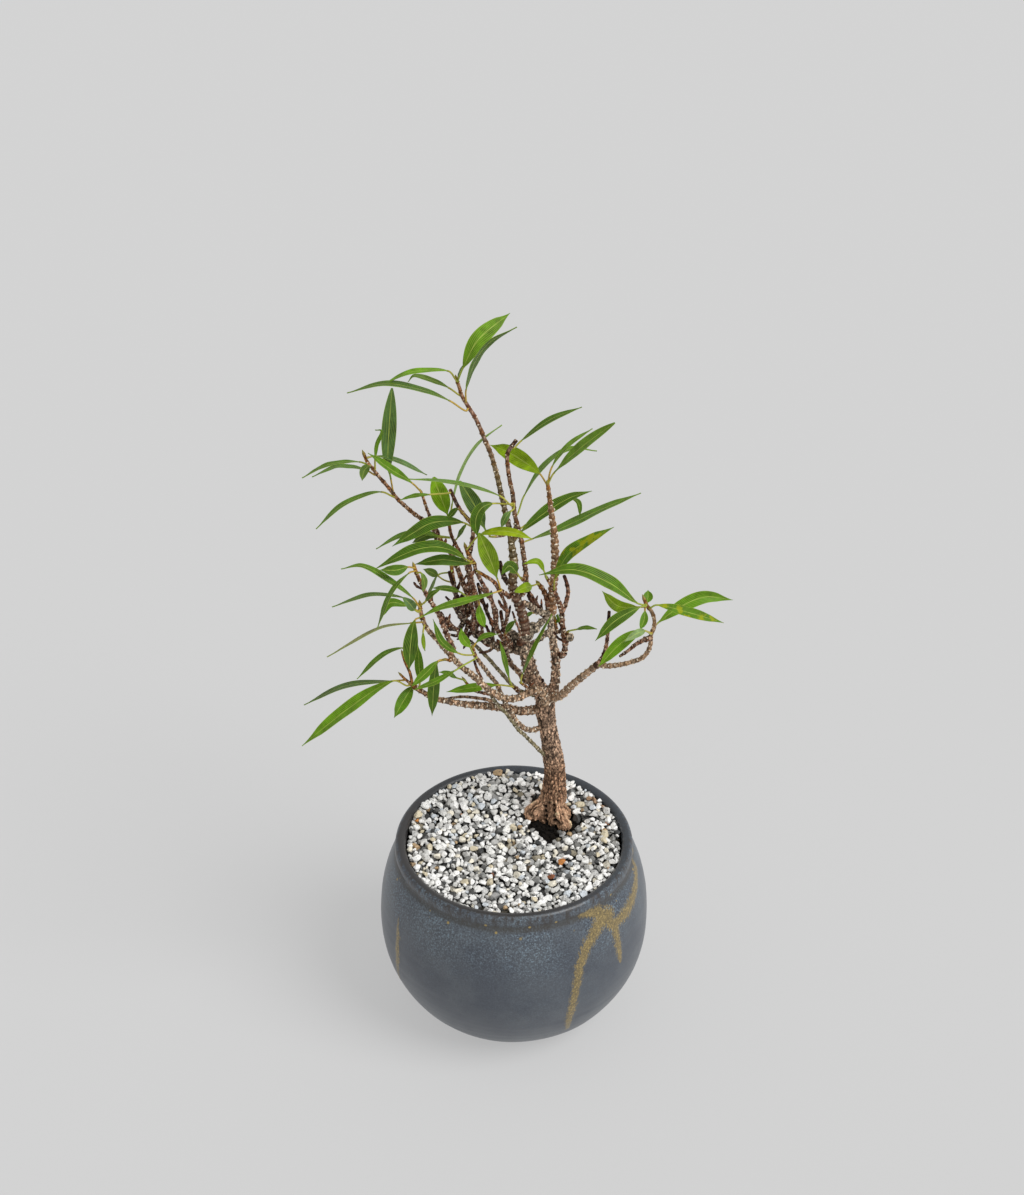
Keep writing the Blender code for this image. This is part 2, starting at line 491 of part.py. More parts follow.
def nearest(path, place, keep=0.0):
    """The point of a path that is nearest to a place, at least so far from the path's end."""
    total = lengths(path)
    best = None
    for a, b, run in zip(path, path[1:], total):
        line = b - a
        share = max(0.0, min(1.0, (place - a).dot(line) / line.length_squared))
        share = min(share, (total[-1] - keep - run) / line.length)
        if share < 0:
            continue
        point = a + line * share
        if best is None or (point - place).length < (best - place).length:
            best = point
    return best


def on_curve(path, share):
    """The point at a share of the length of a smooth curve through a path."""
    total = lengths(path)
    want = share * total[-1]
    last = len(path) - 2
    index = min(last, sum(run <= want for run in total[1:]))
    a, b = path[index], path[index + 1]
    span = total[index + 1] - total[index]
    before = path[max(0, index - 1)]
    beyond = path[min(len(path) - 1, index + 2)]
    slope_a = (b - before) / (total[index + 1] - total[max(0, index - 1)]) * span
    slope_b = (beyond - a) / (total[min(len(path) - 1, index + 2)] - total[index]) * span
    t = (want - total[index]) / span
    return (a * (2 * t**3 - 3 * t**2 + 1) + slope_a * (t**3 - 2 * t**2 + t)
            + b * (3 * t**2 - 2 * t**3) + slope_b * (t**3 - t**2))


def blade_shape(share):
    """Half width of a willow-like blade, as a share of the greatest, along its length."""
    return sin(pi * share**0.82)**1.1


def leaf(name, seen, blade_from, points, stem, surface):
    """A petiole and a folded blade in one solid, whose petiole starts inside the stem."""
    path = [sight(*point) for point in points]
    path.insert(0, nearest(stem, path[0], SNAP))
    stalk, blade = path[:blade_from + 2], path[blade_from + 1:]
    length = lengths(blade)[-1]
    seen_width = seen * pixel_size(blade[len(blade) // 2])
    width = max(seen_width, min(BLADE_WIDTH[1], max(BLADE_WIDTH[0], BLADE_RATIO * length)))
    tilt = acos(seen_width / width)
    shares = STATIONS[length > LONG_BLADE]
    stations = stalk + [on_curve(blade, share) for share in shares] + [blade[-1]]
    halves = [PETIOLE / 2] * len(stalk)
    halves += [max(PETIOLE / 2, width / 2 * blade_shape(share)) for share in shares]
    places = []
    side_before = None
    for place, ahead, half in zip(stations, tangents(stations), halves):
        look = (place - EYE).normalized()
        side = ahead.cross(look).normalized()
        upright = side.dot(UP + RIGHT * 0.3)
        if (side_before.dot(side) if side_before else upright) < 0:
            side.negate()
        side_before = side
        away = (look - ahead * look.dot(ahead)).normalized()
        blunt = half <= PETIOLE / 2
        edge = side if blunt else side * cos(tilt) + away * sin(tilt)
        face = edge.cross(ahead).normalized()
        if face.dot(look) > 0:
            face.negate()
        fold = Vector() if blunt else face * (half * BLADE_FOLD)
        thick = face * ((PETIOLE if blunt else BLADE_THICK) / 2)
        corners = [edge * half + fold, thick - fold, -edge * half + fold, -thick - fold]
        if edge.cross(face).dot(ahead) < 0:
            corners.reverse()
        places += [place + corner for corner in corners]
    tip = len(places)
    places.append(stations[-1])
    faces = [(3, 2, 1, 0)]
    for start in range(0, tip - 4, 4):
        for side in range(4):
            step = (side + 1) % 4
            a, b, c, d = start + side, start + step, start + 4 + step, start + 4 + side
            faces += [(a, b, c), (a, c, d)] if side % 2 else [(a, b, d), (b, c, d)]
    faces += [(tip - 4 + side, tip - 4 + (side + 1) % 4, tip) for side in range(4)]
    return add_solid(name, places, faces, surface)


def belly_outline():
    """Outer outline of the pot, from the middle of its underside up to its lip."""
    foot = (POT_BELLY**2 - BELLY_HEIGHT**2)**0.5
    outline = [(0, 0), (foot - 0.5 * MM, 0)]
    for height in (1.5, 6, 12, 19, 28, 38, 47):
        rise = BELLY_HEIGHT - height * MM
        outline.append(((POT_BELLY**2 - rise**2)**0.5, height * MM))
    return outline + [(radius * MM, height * MM) for radius, height in SHOULDER + LIP]


def add_pot(surface):
    inside = [(radius * MM, height * MM) for radius, height in INSIDE]
    outline = belly_outline() + inside + [(FLOOR_RADIUS, FLOOR), (0, FLOOR)]
    pot = turned("pot", outline, POT_SIDES, surface)
    cutters = []
    for centre in drain_centres():
        ends = [centre + Vector((0, 0, height)) for height in (-FLOOR, 2 * FLOOR)]
        cutters.append(tube("drain_cutter", ends, [DRAIN_RADIUS] * 2, 12, surface))
    return combine(pot, cutters, "DIFFERENCE")


def drain_centres():
    turns = (2 * pi * hole / DRAIN_HOLES + pi / 6 for hole in range(DRAIN_HOLES))
    return [Vector((cos(turn), sin(turn), 0)) * DRAIN_CIRCLE for turn in turns]


def add_drain_mesh(name, centre, surface):
    """A square plate over a drain hole, with every second cell open."""
    low = FLOOR + GAP
    step = MESH_SIDE / MESH_CELLS
    corner = centre - Vector((MESH_SIDE / 2, MESH_SIDE / 2, 0))
    half = MESH_SIDE / 2
    outline = [(centre.x - half, centre.y - half), (centre.x + half, centre.y - half),
               (centre.x + half, centre.y + half), (centre.x - half, centre.y + half)]
    plate = prism(name, outline, low, low + MESH_THICKNESS, surface)
    cutters = []
    for column in range(1, MESH_CELLS, 2):
        for row in range(1, MESH_CELLS, 2):
            x, y = corner.x + column * step, corner.y + row * step
            cell = [(x, y), (x + step, y), (x + step, y + step), (x, y + step)]
            cutters.append(prism("cell", cell, low - step, low + step, surface))
    return combine(plate, cutters, "DIFFERENCE")


def clearing(shrink=1.0):
    """Outline of the bare soil round the foot of the trunk."""
    return [(FOOT.x + x * MM * shrink, FOOT.y + y * MM * shrink) for x, y in CLEARING]


def add_soil(surface):
    """Fills the pot up to the gravel, with a mound and a plain hole for the root."""
    bottom = FLOOR + MESH_THICKNESS + 2 * GAP
    sides = [(radius * MM - 1.6 * GAP, height * MM) for radius, height in reversed(INSIDE[1:])]
    top = (INSIDE[0][0] * MM - 1.6 * GAP, SOIL_TOP)
    outline = [(0, bottom), (FLOOR_RADIUS, bottom), *sides, top, (0, SOIL_TOP)]
    soil = turned("soil", outline, SOIL_SIDES, surface)
    mound = prism("mound", clearing(0.95), SOIL_TOP - 2 * MM, SOIL_AT_FOOT, surface)
    soil = combine(soil, [mound])
    hole_top = Vector((FOOT.x, FOOT.y, FOOT.z + ROOT_DEPTH))
    hole_foot = Vector((FOOT.x, FOOT.y, FOOT.z - ROOT_DEPTH - GAP))
    wide = [ROOT_RADIUS[1] + 2 * GAP, ROOT_RADIUS[0] * 2 - ROOT_RADIUS[1] + 2 * GAP]
    hole = tube("root_hole", [hole_foot, hole_top], wide, ROOT_SIDES, surface)
    return combine(soil, [hole], "DIFFERENCE")


def add_gravel(surface):
    """A layer on the soil whose top is raised in grains: on a grid of triangles bent into a
    disc, every third corner is a grain's top."""
    rng = random.Random(4)
    low = SOIL_TOP + GAP
    places, faces, index = [], [], {}
    rings = GRAVEL_RINGS
    for q in range(-rings, rings + 1):
        for r in range(max(-rings, -q - rings), min(rings, rings - q) + 1):
            ring = max(abs(q), abs(r), abs(q + r))
            flat = Vector((q + r / 2, r * 3**0.5 / 2, 0))
            if ring:
                flat = flat.normalized() * (GRAVEL_RADIUS * ring / rings)
            rise = GRAIN_RISE * (rng.uniform(0.55, 1.0) if (q - r) % 3 == 0 else rng.uniform(0, 0.3))
            index[q, r] = len(places)
            places.append(flat + Vector((0, 0, GRAVEL_TOP - GRAIN_RISE / 2 + rise)))
    for (q, r), a in index.items():
        right, above, below = index.get((q + 1, r)), index.get((q, r + 1)), index.get((q + 1, r - 1))
        if right is not None and above is not None:
            faces.append((a, right, above))
        if right is not None and below is not None:
            faces.append((a, below, right))
    rim = [place for place in index if max(abs(place[0]), abs(place[1]), abs(sum(place))) == rings]
    rim = sorted((index[at] for at in rim), key=lambda at: atan2(places[at].y, places[at].x))
    under = len(places)
    places += [Vector((places[corner].x, places[corner].y, low)) for corner in rim]
    for side, corner in enumerate(rim):
        after = (side + 1) % len(rim)
        faces.append((rim[after], corner, under + side, under + after))
    faces.append(tuple(reversed(range(under, len(places)))))
    gravel = add_solid("gravel", places, faces, surface)
    hole = prism("clearing", clearing(), low - 5 * MM, POT_HEIGHT + 5 * MM, surface)
    return combine(gravel, [hole], "DIFFERENCE")


def branch_paths():
    """Centre line of the trunk and of every branch, rooted on the centre line of its parent."""
    paths = {"trunk": [sight(*point[:3]) for point in TRUNK]}
    for name, (parent, _, _, _, points) in BRANCHES.items():
        path = [sight(*point) for point in points]
        paths[name] = [nearest(paths[parent], path[0]), *path]
    return paths


def add_wood(paths, surface):
    """Root, trunk, root flare, knots and every branch as far as it is bare, in one solid."""
    root = [FOOT - Vector((0, 0, ROOT_DEPTH)), FOOT]
    radii = [ROOT_RADIUS[1], ROOT_RADIUS[0]]
    trunk_radii = [point[3] * MM for point in TRUNK]
    trunk = tube("trunk_and_branches", root[:1] + paths["trunk"], radii[:1] + trunk_radii,
                 TRUNK_SIDES, surface)
    pieces = []
    for x, y, radius in LOBES:
        out = Vector((x, y, 0)) * MM
        path = [FOOT + out * share + Vector((0, 0, height)) for share, height in
                ((0.15, LOBE_TOP), (0.62, LOBE_TOP * 0.5), (1, 2 * MM))]
        path.append(Vector((path[-1].x, path[-1].y, SOIL_AT_FOOT + GAP)))
        wide = [share * radius * MM for share in (0.7, 1, 1.05, 0.8)]
        pieces.append(tube("lobe", path, wide, 7, surface))
    for *point, radius in KNOTS:
        bpy.ops.mesh.primitive_ico_sphere_add(subdivisions=1, radius=radius * MM,
                                              location=sight(*point))
        pieces.append(bpy.context.object)
    for name, (_, start, end, leafy, _) in BRANCHES.items():
        path = paths[name]
        radii = taper(path, start, end)
        bare = len(path) if leafy is None else leafy + 2
        sides = 7 if start > 1.9 else 5 if start > 1.0 else 4
        pieces.append(tube(name, path[:bare], radii[:bare], sides, surface, tangents(path)[:bare]))
    keep_largest(combine(trunk, pieces))


def add_shoot(name, paths, surface):
    """The leafy end of a branch: its stem, which starts just past the bare wood, and leaves."""
    _, start, end, leafy, _ = BRANCHES[name]
    path, radii = paths[name], taper(paths[name], start, end)
    directions = tangents(path)[leafy + 1:]
    stem = [path[leafy + 1] + directions[0] * GAP, *path[leafy + 2:]]
    solid = tube("shoot_" + name, stem, radii[leafy + 1:], 5, surface, directions)
    pieces = []
    stems = [stem]
    for first, last, points in SIDE_STEMS.get(name, []):
        side = [sight(*point) for point in points]
        side.insert(0, nearest(stem, side[0], SNAP))
        pieces.append(tube("side_stem", side, taper(side, first, last), 5, surface))
        stems.append(side)
    for seen, blade_from, points in LEAVES[name]:
        base = sight(*points[0])
        holder = min(stems, key=lambda line: (nearest(line, base, SNAP) - base).length)
        pieces.append(leaf("leaf", seen, blade_from, points, holder, surface))
    keep_largest(combine(solid, pieces))


for old in list(bpy.data.objects):
    bpy.data.objects.remove(old)

surfaces = {name: material(name) for name in COLOURS}
add_pot(surfaces["pot"])
for number, centre in enumerate(drain_centres(), 1):
    add_drain_mesh(f"drain_mesh_{number}", centre, surfaces["drain_mesh"])
add_soil(surfaces["soil"])
add_gravel(surfaces["gravel"])
branches = branch_paths()
add_wood(branches, surfaces["wood"])
for shoot in LEAVES:
    add_shoot(shoot, branches, surfaces["leaf"])
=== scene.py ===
"""Willow leaf fig bonsai in a round glazed pot, finished for looks around its solid model."""
from functools import partial
from math import acos, atan2, cos, exp, pi, radians, sin
import random

import bpy
from mathutils import Matrix, Vector, noise
from mathutils.bvhtree import BVHTree
import numpy as np


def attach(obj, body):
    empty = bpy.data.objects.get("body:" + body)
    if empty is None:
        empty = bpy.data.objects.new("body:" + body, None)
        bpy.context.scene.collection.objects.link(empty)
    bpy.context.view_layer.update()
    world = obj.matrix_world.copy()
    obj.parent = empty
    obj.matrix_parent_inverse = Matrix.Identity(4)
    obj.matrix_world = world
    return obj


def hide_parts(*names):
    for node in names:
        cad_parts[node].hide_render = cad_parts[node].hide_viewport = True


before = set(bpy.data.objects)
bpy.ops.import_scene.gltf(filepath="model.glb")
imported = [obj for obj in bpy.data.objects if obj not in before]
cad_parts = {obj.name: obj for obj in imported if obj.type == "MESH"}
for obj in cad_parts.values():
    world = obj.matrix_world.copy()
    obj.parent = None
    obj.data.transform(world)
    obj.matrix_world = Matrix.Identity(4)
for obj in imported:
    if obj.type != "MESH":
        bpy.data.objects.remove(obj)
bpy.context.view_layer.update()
MM = 0.001

# Studio: a pale floor of lit paper, so that shadows on it stay faint, a camera at the
# photograph's height and angle, one large soft key light from the front right and an even room.
EYE = Vector((-0.9, -912.5, 865.1)) * MM
PITCH = radians(35.3)
FOCAL_PX = 2700.0
PHOTO_PX = (1024, 1195)
MIDDLE_PX = (PHOTO_PX[0] / 2, PHOTO_PX[1] / 2)
AHEAD = Vector((0, cos(PITCH), -sin(PITCH)))
UP = Vector((0, sin(PITCH), cos(PITCH)))
RIGHT = Vector((1, 0, 0))
SENSOR_MM = 36.0
FLOOR_RADIUS = 6
FLOOR_GLOW = 0.41
ROOM_LIGHT = 0.5
KEY_FROM = Vector((0.58, -0.335, 0.743))
KEY_LIGHT = 2.0
KEY_ANGLE = radians(36)
WHITE = (1, 1, 1, 1)


def linear(code):
    """Linear red, green, blue and a full alpha from an sRGB hex colour."""
    parts = [int(code[at:at + 2], 16) / 255 for at in (1, 3, 5)]
    return [p / 12.92 if p <= 0.04045 else ((p + 0.055) / 1.055)**2.4 for p in parts] + [1.0]


def set_node(made, *values, **settings):
    """Give a node its properties and its inputs by name, with _ for a space, and its inputs in
    their order. An output that is given to an input is linked to it."""
    own = [key for key in settings if hasattr(made, key)]
    for key in own:
        setattr(made, key, settings[key])
    inputs = [(made.inputs[key.replace("_", " ")], settings[key]) for key in settings if key not in own]
    for socket, value in [*inputs, *zip([socket for socket in made.inputs if socket.enabled], values)]:
        if isinstance(value, bpy.types.NodeSocket):
            made.id_data.links.new(value, socket)
        else:
            socket.default_value = value


def add_node(tree, kind, *values, out=None, **settings):
    """Add one node with its settings and links, and give back an output, the first if unnamed."""
    made = tree.nodes.new("ShaderNode" + kind)
    set_node(made, *values, **settings)
    return made.outputs[out] if out else next(socket for socket in made.outputs if socket.enabled)


def new_material(name):
    """A material, what adds a node to it, its Principled shader and the object's coordinates."""
    made = bpy.data.materials.new(name)
    made.use_nodes = True
    node = partial(add_node, made.node_tree)
    return made, node, made.node_tree.nodes["Principled BSDF"], node("TexCoord", out="Object")


def select(made=None):
    """Select one object alone, or nothing."""
    bpy.ops.object.select_all(action="DESELECT")
    if made:
        made.select_set(True)
        bpy.context.view_layer.objects.active = made


select()
bpy.context.scene.view_settings.view_transform = "Standard"
bpy.ops.object.camera_add(location=EYE, rotation=(pi / 2 - PITCH, 0, 0))
camera = bpy.context.object
camera.name = "camera"
camera.data.sensor_width = SENSOR_MM
camera.data.lens = SENSOR_MM * FOCAL_PX / PHOTO_PX[1]
camera.data.clip_start, camera.data.clip_end = 0.05, 50
bpy.context.scene.camera = camera

bpy.ops.mesh.primitive_circle_add(vertices=96, radius=FLOOR_RADIUS, fill_type="NGON")
floor = bpy.context.object
floor.name = "floor"
paper, node, shader, where = new_material("lit_paper_floor")
set_node(shader, Base_Color=linear("#888888"), Emission_Color=WHITE, Emission_Strength=FLOOR_GLOW,
         Roughness=0.9, Specular_IOR_Level=0.1)
floor.data.materials.append(paper)

world = bpy.data.worlds.new("room")
bpy.context.scene.world = world
world.use_nodes = True
set_node(world.node_tree.nodes["Background"], Color=WHITE, Strength=ROOM_LIGHT)
bpy.ops.object.light_add(type="SUN", rotation=KEY_FROM.to_track_quat("Z", "Y").to_euler())
key = bpy.context.object
key.name = "key_light"
key.data.energy, key.data.angle = KEY_LIGHT, KEY_ANGLE

# Pot: stoneware thrown on a wheel as one closed-in bowl with a rolled lip, three drain holes in
# its foot, dipped in a satin slate blue glaze over which an iron-tan glaze has run down in
# places. The glaze breaks lighter and speckled over the shoulder and pools darker below. Broad
# lighter patches on the shoulder are a painted reflection, and the wall inside the lip and its
# edge at the grit are darkened as painted shade.


def rows(text):
    """Rows of numbers from words such as 53.4,66"""
    return [tuple(float(part) for part in word.split(",")) for word in text.split()]


# Outline of the body from its foot over the lip to the middle inside, and of its hollow foot:
# radius and height in mm
POT_CURVE = rows("33.5,0 36,0.05 37.4,0.7 39,2.2 43,6 48.5,12 53,19 56.9,28 59.3,38 59.9,47 59.5,56"
                 " 58.6,64 56.8,72 54.4,78.5 52.6,81.8 52.1,82.9 52.7,84.4 52.6,86.9 52,88.1 51.1,88.6"
                 " 49.9,88.6 48.8,88.3 48.1,87.5 47.8,86.2 48,84.2 49.2,79 53.4,66 55.2,50 53,32 46,15"
                 " 41,9.5 33,6.1 0,6")
POT_FOOT = rows("0,0.6 30.5,0.6 31.8,0.45 32.6,0.1")
POT_STEP = 1.3
POT_TURNS = 288
DRAIN_HOLES = 3
DRAIN_RADIUS = 4.5 * MM
DRAIN_CIRCLE = 19 * MM
# Glaze runs: pixels of the photograph along each one, and half its width there in mm
RUNS = [
    "567,1029,1.1 569,1018,2.2 573,1004,2.4 576.5,986,2.5 579.5,967,2.9 586,948,3.4 592,937,3.7"
    " 598,926,4.2 602,917,5 609,914,4",
    "580,915.5,1.4 589,912.5,2.3 598,912,3.6 605,918,3.8 612,924,3.2",
    "620.5,962,1 619.5,955,2.1 618.5,946,2.3 616.5,934,2.6 614,925,3.2",
    "614,925,3 619,920,3.1 626.5,911,3.9 632,900,3.6 635.5,885,2.9 636,868,2.3 633,850,1.4",
    "399,915,0.6 398,935,1.8 398,958,2 400,978,0.9",
]
RUN_RISE = 0.22 * MM


def sight(across, down, behind=0):
    """The place seen at a pixel of the photograph, so many mm behind the pot's axis."""
    line = AHEAD + RIGHT * ((across - MIDDLE_PX[0]) / FOCAL_PX)
    line -= UP * ((down - MIDDLE_PX[1]) / FOCAL_PX)
    return EYE + line * ((behind * MM - EYE.y) / line.y)


def lengths(path):
    total = [0.0]
    for a, b in zip(path, path[1:]):
        total.append(total[-1] + (b - a).length)
    return total


def on_curve(path, want):
    """The point that far along a smooth curve through a path."""
    total = lengths(path)
    last = len(path) - 2
    want = max(0.0, min(total[-1], want))
    index = min(last, sum(run <= want for run in total[1:]))
    a, b = path[index], path[index + 1]
    span = total[index + 1] - total[index]
    low, high = max(0, index - 1), min(len(path) - 1, index + 2)
    slope_a = (b - path[low]) / (total[index + 1] - total[low]) * span
    slope_b = (path[high] - a) / (total[high] - total[index]) * span
    t = (want - total[index]) / span
    return (a * (2 * t**3 - 3 * t**2 + 1) + slope_a * (t**3 - 2 * t**2 + t)
            + b * (3 * t**2 - 2 * t**3) + slope_b * (t**3 - t**2))


def spaced(path, count, reach=None):
    """Evenly spaced points in so many steps along a smooth curve, as far as it reaches."""
    reach = reach or lengths(path)[-1]
    return [on_curve(path, reach * at / count) for at in range(count + 1)]


def add_object(name, data):
    made = bpy.data.objects.new(name, data)
    bpy.context.scene.collection.objects.link(made)
    return made


def spun(name, outline, turns):
    """Spin an outline of radius and height about the upright axis, as on a wheel."""
    mesh = bpy.data.meshes.new(name)
    mesh.from_pydata([(radius, 0, height) for radius, height in outline],
                     [(at, at + 1) for at in range(len(outline) - 1)], [])
    made = add_object(name, mesh)
    select(made)
    bpy.ops.object.mode_set(mode="EDIT")
    bpy.ops.mesh.select_all(action="SELECT")
    bpy.ops.mesh.spin(steps=turns, angle=2 * pi, center=(0, 0, 0), axis=(0, 0, 1))
    bpy.ops.mesh.select_all(action="SELECT")
    bpy.ops.mesh.remove_doubles(threshold=1e-6)
    bpy.ops.mesh.normals_make_consistent(inside=False)
    bpy.ops.object.mode_set(mode="OBJECT")
    return made


def apply_all(made):
    """Apply the modifiers of an object in their order."""
    select(made)
    for step in list(made.modifiers):
        bpy.ops.object.modifier_apply(modifier=step.name)


def smooth(made, angle=180):
    select(made)
    bpy.ops.object.shade_smooth_by_angle(angle=radians(angle))


def get_points(made, kind="co"):
    flat = np.empty(len(made.data.vertices) * 3)
    made.data.vertices.foreach_get(kind, flat)
    return flat.reshape(-1, 3)


def set_points(made, places):
    made.data.vertices.foreach_set("co", np.asarray(places, dtype=np.float32).ravel())
    made.data.update()


def store(made, name, values):
    """Store a number for each point of a mesh, for its material."""
    made.data.attributes.new(name, "FLOAT", "POINT").data.foreach_set("value", values)


def lumps(place, scale=1):
    """Smooth random bumps, from about -1 to 1."""
    return noise.noise(Vector(place) * scale)


wall = [Vector((radius, 0, height)) for radius, height in POT_CURVE]
wall = spaced(wall, int(lengths(wall)[-1] / POT_STEP))
outline = POT_FOOT + [(place.x, place.z) for place in wall]
outline = [(max(0.0, radius) * MM, max(0.0, height) * MM) for radius, height in outline]
pot = spun("pot_glazed", outline, POT_TURNS)
for hole in range(DRAIN_HOLES):
    turn = 2 * pi * hole / DRAIN_HOLES + pi / 6
    bpy.ops.mesh.primitive_cylinder_add(vertices=48, radius=DRAIN_RADIUS, depth=30 * MM, location=(
        cos(turn) * DRAIN_CIRCLE, sin(turn) * DRAIN_CIRCLE, 0))
    cutter = bpy.context.object
    step = pot.modifiers.new("drain", "BOOLEAN")
    step.operation, step.object, step.solver = "DIFFERENCE", cutter, "EXACT"
    apply_all(pot)
    bpy.data.objects.remove(cutter)
shell = BVHTree.FromObject(pot, bpy.context.evaluated_depsgraph_get())


def seen_on(surface, across, down):
    """Where a pixel's line of sight meets a surface, or None."""
    return surface.ray_cast(EYE, (sight(across, down) - EYE).normalized())[0]


def on_pot(across, down):
    """Where a pixel's line of sight meets the pot, or the place beside it at the pot's edge."""
    hit = None
    while hit is None:
        hit = seen_on(shell, across, down)
        across += 0.5 if across < MIDDLE_PX[0] else -0.5
    return hit


points = get_points(pot)
run = np.full(len(points), -1.0)
for row in RUNS:
    places = [(on_pot(across, down), half) for across, down, half in rows(row)]
    for (a, half_a), (b, half_b) in zip(places, places[1:]):
        line = np.array(b - a)
        share = np.clip((points - np.array(a)) @ line / (line @ line), 0, 1)
        gap = np.linalg.norm(points - np.array(a) - share[:, None] * line, axis=1)
        half = (half_a + (half_b - half_a) * share) * MM
        run = np.maximum(run, np.clip(1 - gap / half, -1, 1))
radius = np.hypot(points[:, 0], points[:, 1])
run[~((radius > 51 * MM) | (points[:, 2] < 6 * MM))] = -1
# The wheel and the hand left it slightly uneven, and the runs stand up a little
rise = np.array([lumps(p, 45) * 0.22 + lumps((p[0] * 20, p[1] * 20, p[2] * 420)) * 0.10 for p in points]) * MM
rise[(points[:, 2] < 1 * MM) | (radius < 40 * MM)] = 0
rise += np.clip(run + 0.15, 0, 0.6) / 0.6 * RUN_RISE - 0.1 * MM * (radius > 40 * MM)
points[:, :2] *= (1 + rise / np.maximum(radius, 1e-6))[:, None]
set_points(pot, points)
store(pot, "run", run)
smooth(pot, 40)

# Settings that many nodes share
SOFT = {"interpolation_type": "SMOOTHSTEP"}
TIMES = {"operation": "MULTIPLY"}
OVER = {"data_type": "RGBA"}
TINT = {"data_type": "RGBA", "blend_type": "MULTIPLY"}

# A glaze of mixed iron and cobalt breaks into grains of about 1 mm, paler where it is thin
glaze, node, shader, where = new_material("satin_slate_glaze")
height = node("SeparateXYZ", where, out="Z")
shoulder = node("MapRange", height, 0.050, 0.078, **SOFT)
cloud = node("TexNoise", where, Scale=48.0, Detail=4.0, Roughness=0.6)
grit = node("TexNoise", where, Scale=1300.0, Detail=3.0, Roughness=0.7)
pale = node("MapRange", grit, 0.5, 0.72)
deep = node("MapRange", grit, 0.48, 0.3)
# Painted reflection: broad patches where the pale broken shoulder shows lighter, standing in for glints of
# light
squat = node("Mapping", where, Scale=(1.0, 1.0, 0.4))
painted_glint = node("MapRange", node("TexNoise", squat, Scale=42.0, Detail=2.0), 0.38, 0.62, 0.45, 1.45)
upright = node("Mapping", where, Scale=(1.0, 1.0, 0.3))
streaks = node("TexNoise", upright, Scale=420.0, Detail=4.0, Roughness=0.7)
level = node("VectorMath", node("Mapping", where, Scale=(1.0, 1.0, 0.0)), operation="LENGTH")
above = node("MapRange", height, 0.06, 0.065, 0.0, 0.8)
facing = node("VectorMath", where, (-0.8, -0.6, 0.0), operation="DOT_PRODUCT")
fleck = node("TexVoronoi", where, Scale=260.0)
rare = node("SeparateColor", fleck.node.outputs["Color"])
# Each layer's colour, and the masks whose product says where it shows: the broken shoulder, in patches
# lighter as a painted reflection, the dark grains, the brown lip, the pool under it, the wall inside darkened
# as painted shade, a painted shadow along its inner edge at the front left, and tan flecks
layers = [("#7e929f", pale, node("MapRange", shoulder, 0.0, 1.0, 0.14, 0.82), painted_glint),
          ("#2c3036", deep, node("MapRange", shoulder, 0.0, 1.0, 0.38, 0.85)),
          ("#39322e", node("MapRange", streaks, 0.44, 0.60, 0.0, 0.85),
           node("MapRange", height, 0.0800, 0.0835, **SOFT)),
          ("#3e3a33", node("MapRange", height, 0.0842, 0.0828, **SOFT),
           node("MapRange", height, 0.0795, 0.0815, **SOFT), 0.6),
          # Painted shade: the wall inside the lip, above 60 mm, darker
          ("#353a40", node("MapRange", level, 0.0514, 0.0505, **SOFT), above),
          # Painted shadow: the lip's inner edge darker where the grit meets it, on the front left only
          ("#35312f", node("MapRange", level, 0.0518, 0.0508, **SOFT),
           node("MapRange", facing, -0.02, 0.03), above),
          ("#a08a52", node("MapRange", fleck, 0.2, 0.12), node("MapRange", rare, 0.45, 0.47),
           node("MapRange", height, 0.0765, 0.0795), node("MapRange", height, 0.0850, 0.0845))]
body = node("Mix", node("MapRange", cloud, 0.38, 0.64), linear("#454b55"), linear("#555b62"), **OVER)
for code, mask, *others in layers:
    for other in others:
        mask = node("Math", mask, other, **TIMES)
    body = node("Mix", mask, body, linear(code), **OVER)
frayed = node("TexNoise", upright, Scale=1300.0, Detail=3.0, Roughness=0.8)
frayed = node("MapRange", frayed, 0.3, 0.7, -0.55, 0.55)
edge = node("Math", node("Attribute", attribute_name="run", out="Fac"), frayed, operation="ADD")
ochre = node("Mix", pale, linear("#7c6c46"), linear("#bda56a"), **OVER)
ochre = node("Mix", deep, ochre, linear("#57503f"), **OVER)
body = node("Mix", node("MapRange", edge, -0.05, 0.5, **SOFT), body, ochre, **OVER)
set_node(shader, Base_Color=body, Roughness=node("MapRange", grit, 0.3, 0.7, 0.34, 0.5), Coat_Weight=0.25,
         Coat_Roughness=0.28, Normal=node("Bump", Height=grit, Strength=0.35, Distance=0.12 * MM))
pot.data.materials.clear()
pot.data.materials.append(glaze)
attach(pot, "root")
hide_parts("pot")

# Drain mesh: a square of black plastic mesh over each hole in the pot's floor, moulded in one,
# with the fine drawn grain that such sheet has. Its solids are right and keep their shape.
plastic, node, shader, where = new_material("moulded_black_plastic")
grain = node("TexNoise", where, Scale=1500.0, Detail=2.0)
set_node(shader, Base_Color=node("Mix", grain, linear("#141414"), linear("#2a2a29"), **OVER), Roughness=0.55,
         Normal=node("Bump", Height=grain, Strength=0.3, Distance=0.1 * MM))
for name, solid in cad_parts.items():
    if name.startswith("drain_mesh"):
        solid.material_slots[0].material = plastic

# Soil: fine black potting mix that fills the pot up to the grit and is heaped round the foot of
# the trunk, where it lies bare, with loose crumbs on it.
FOOT = Vector((17.4, 21.5, 84.0)) * MM
FLOOR_TOP = 7.8
SOIL_TOP = 81.6
SOIL_AT_FOOT = 83.2
SOIL_EDGE = 47.9 * MM
SOIL_INSIDE = [(0, FLOOR_TOP), (32.5, FLOOR_TOP), *rows("45.5,15 52.5,32 54.7,50 52.9,66 48.7,79")]
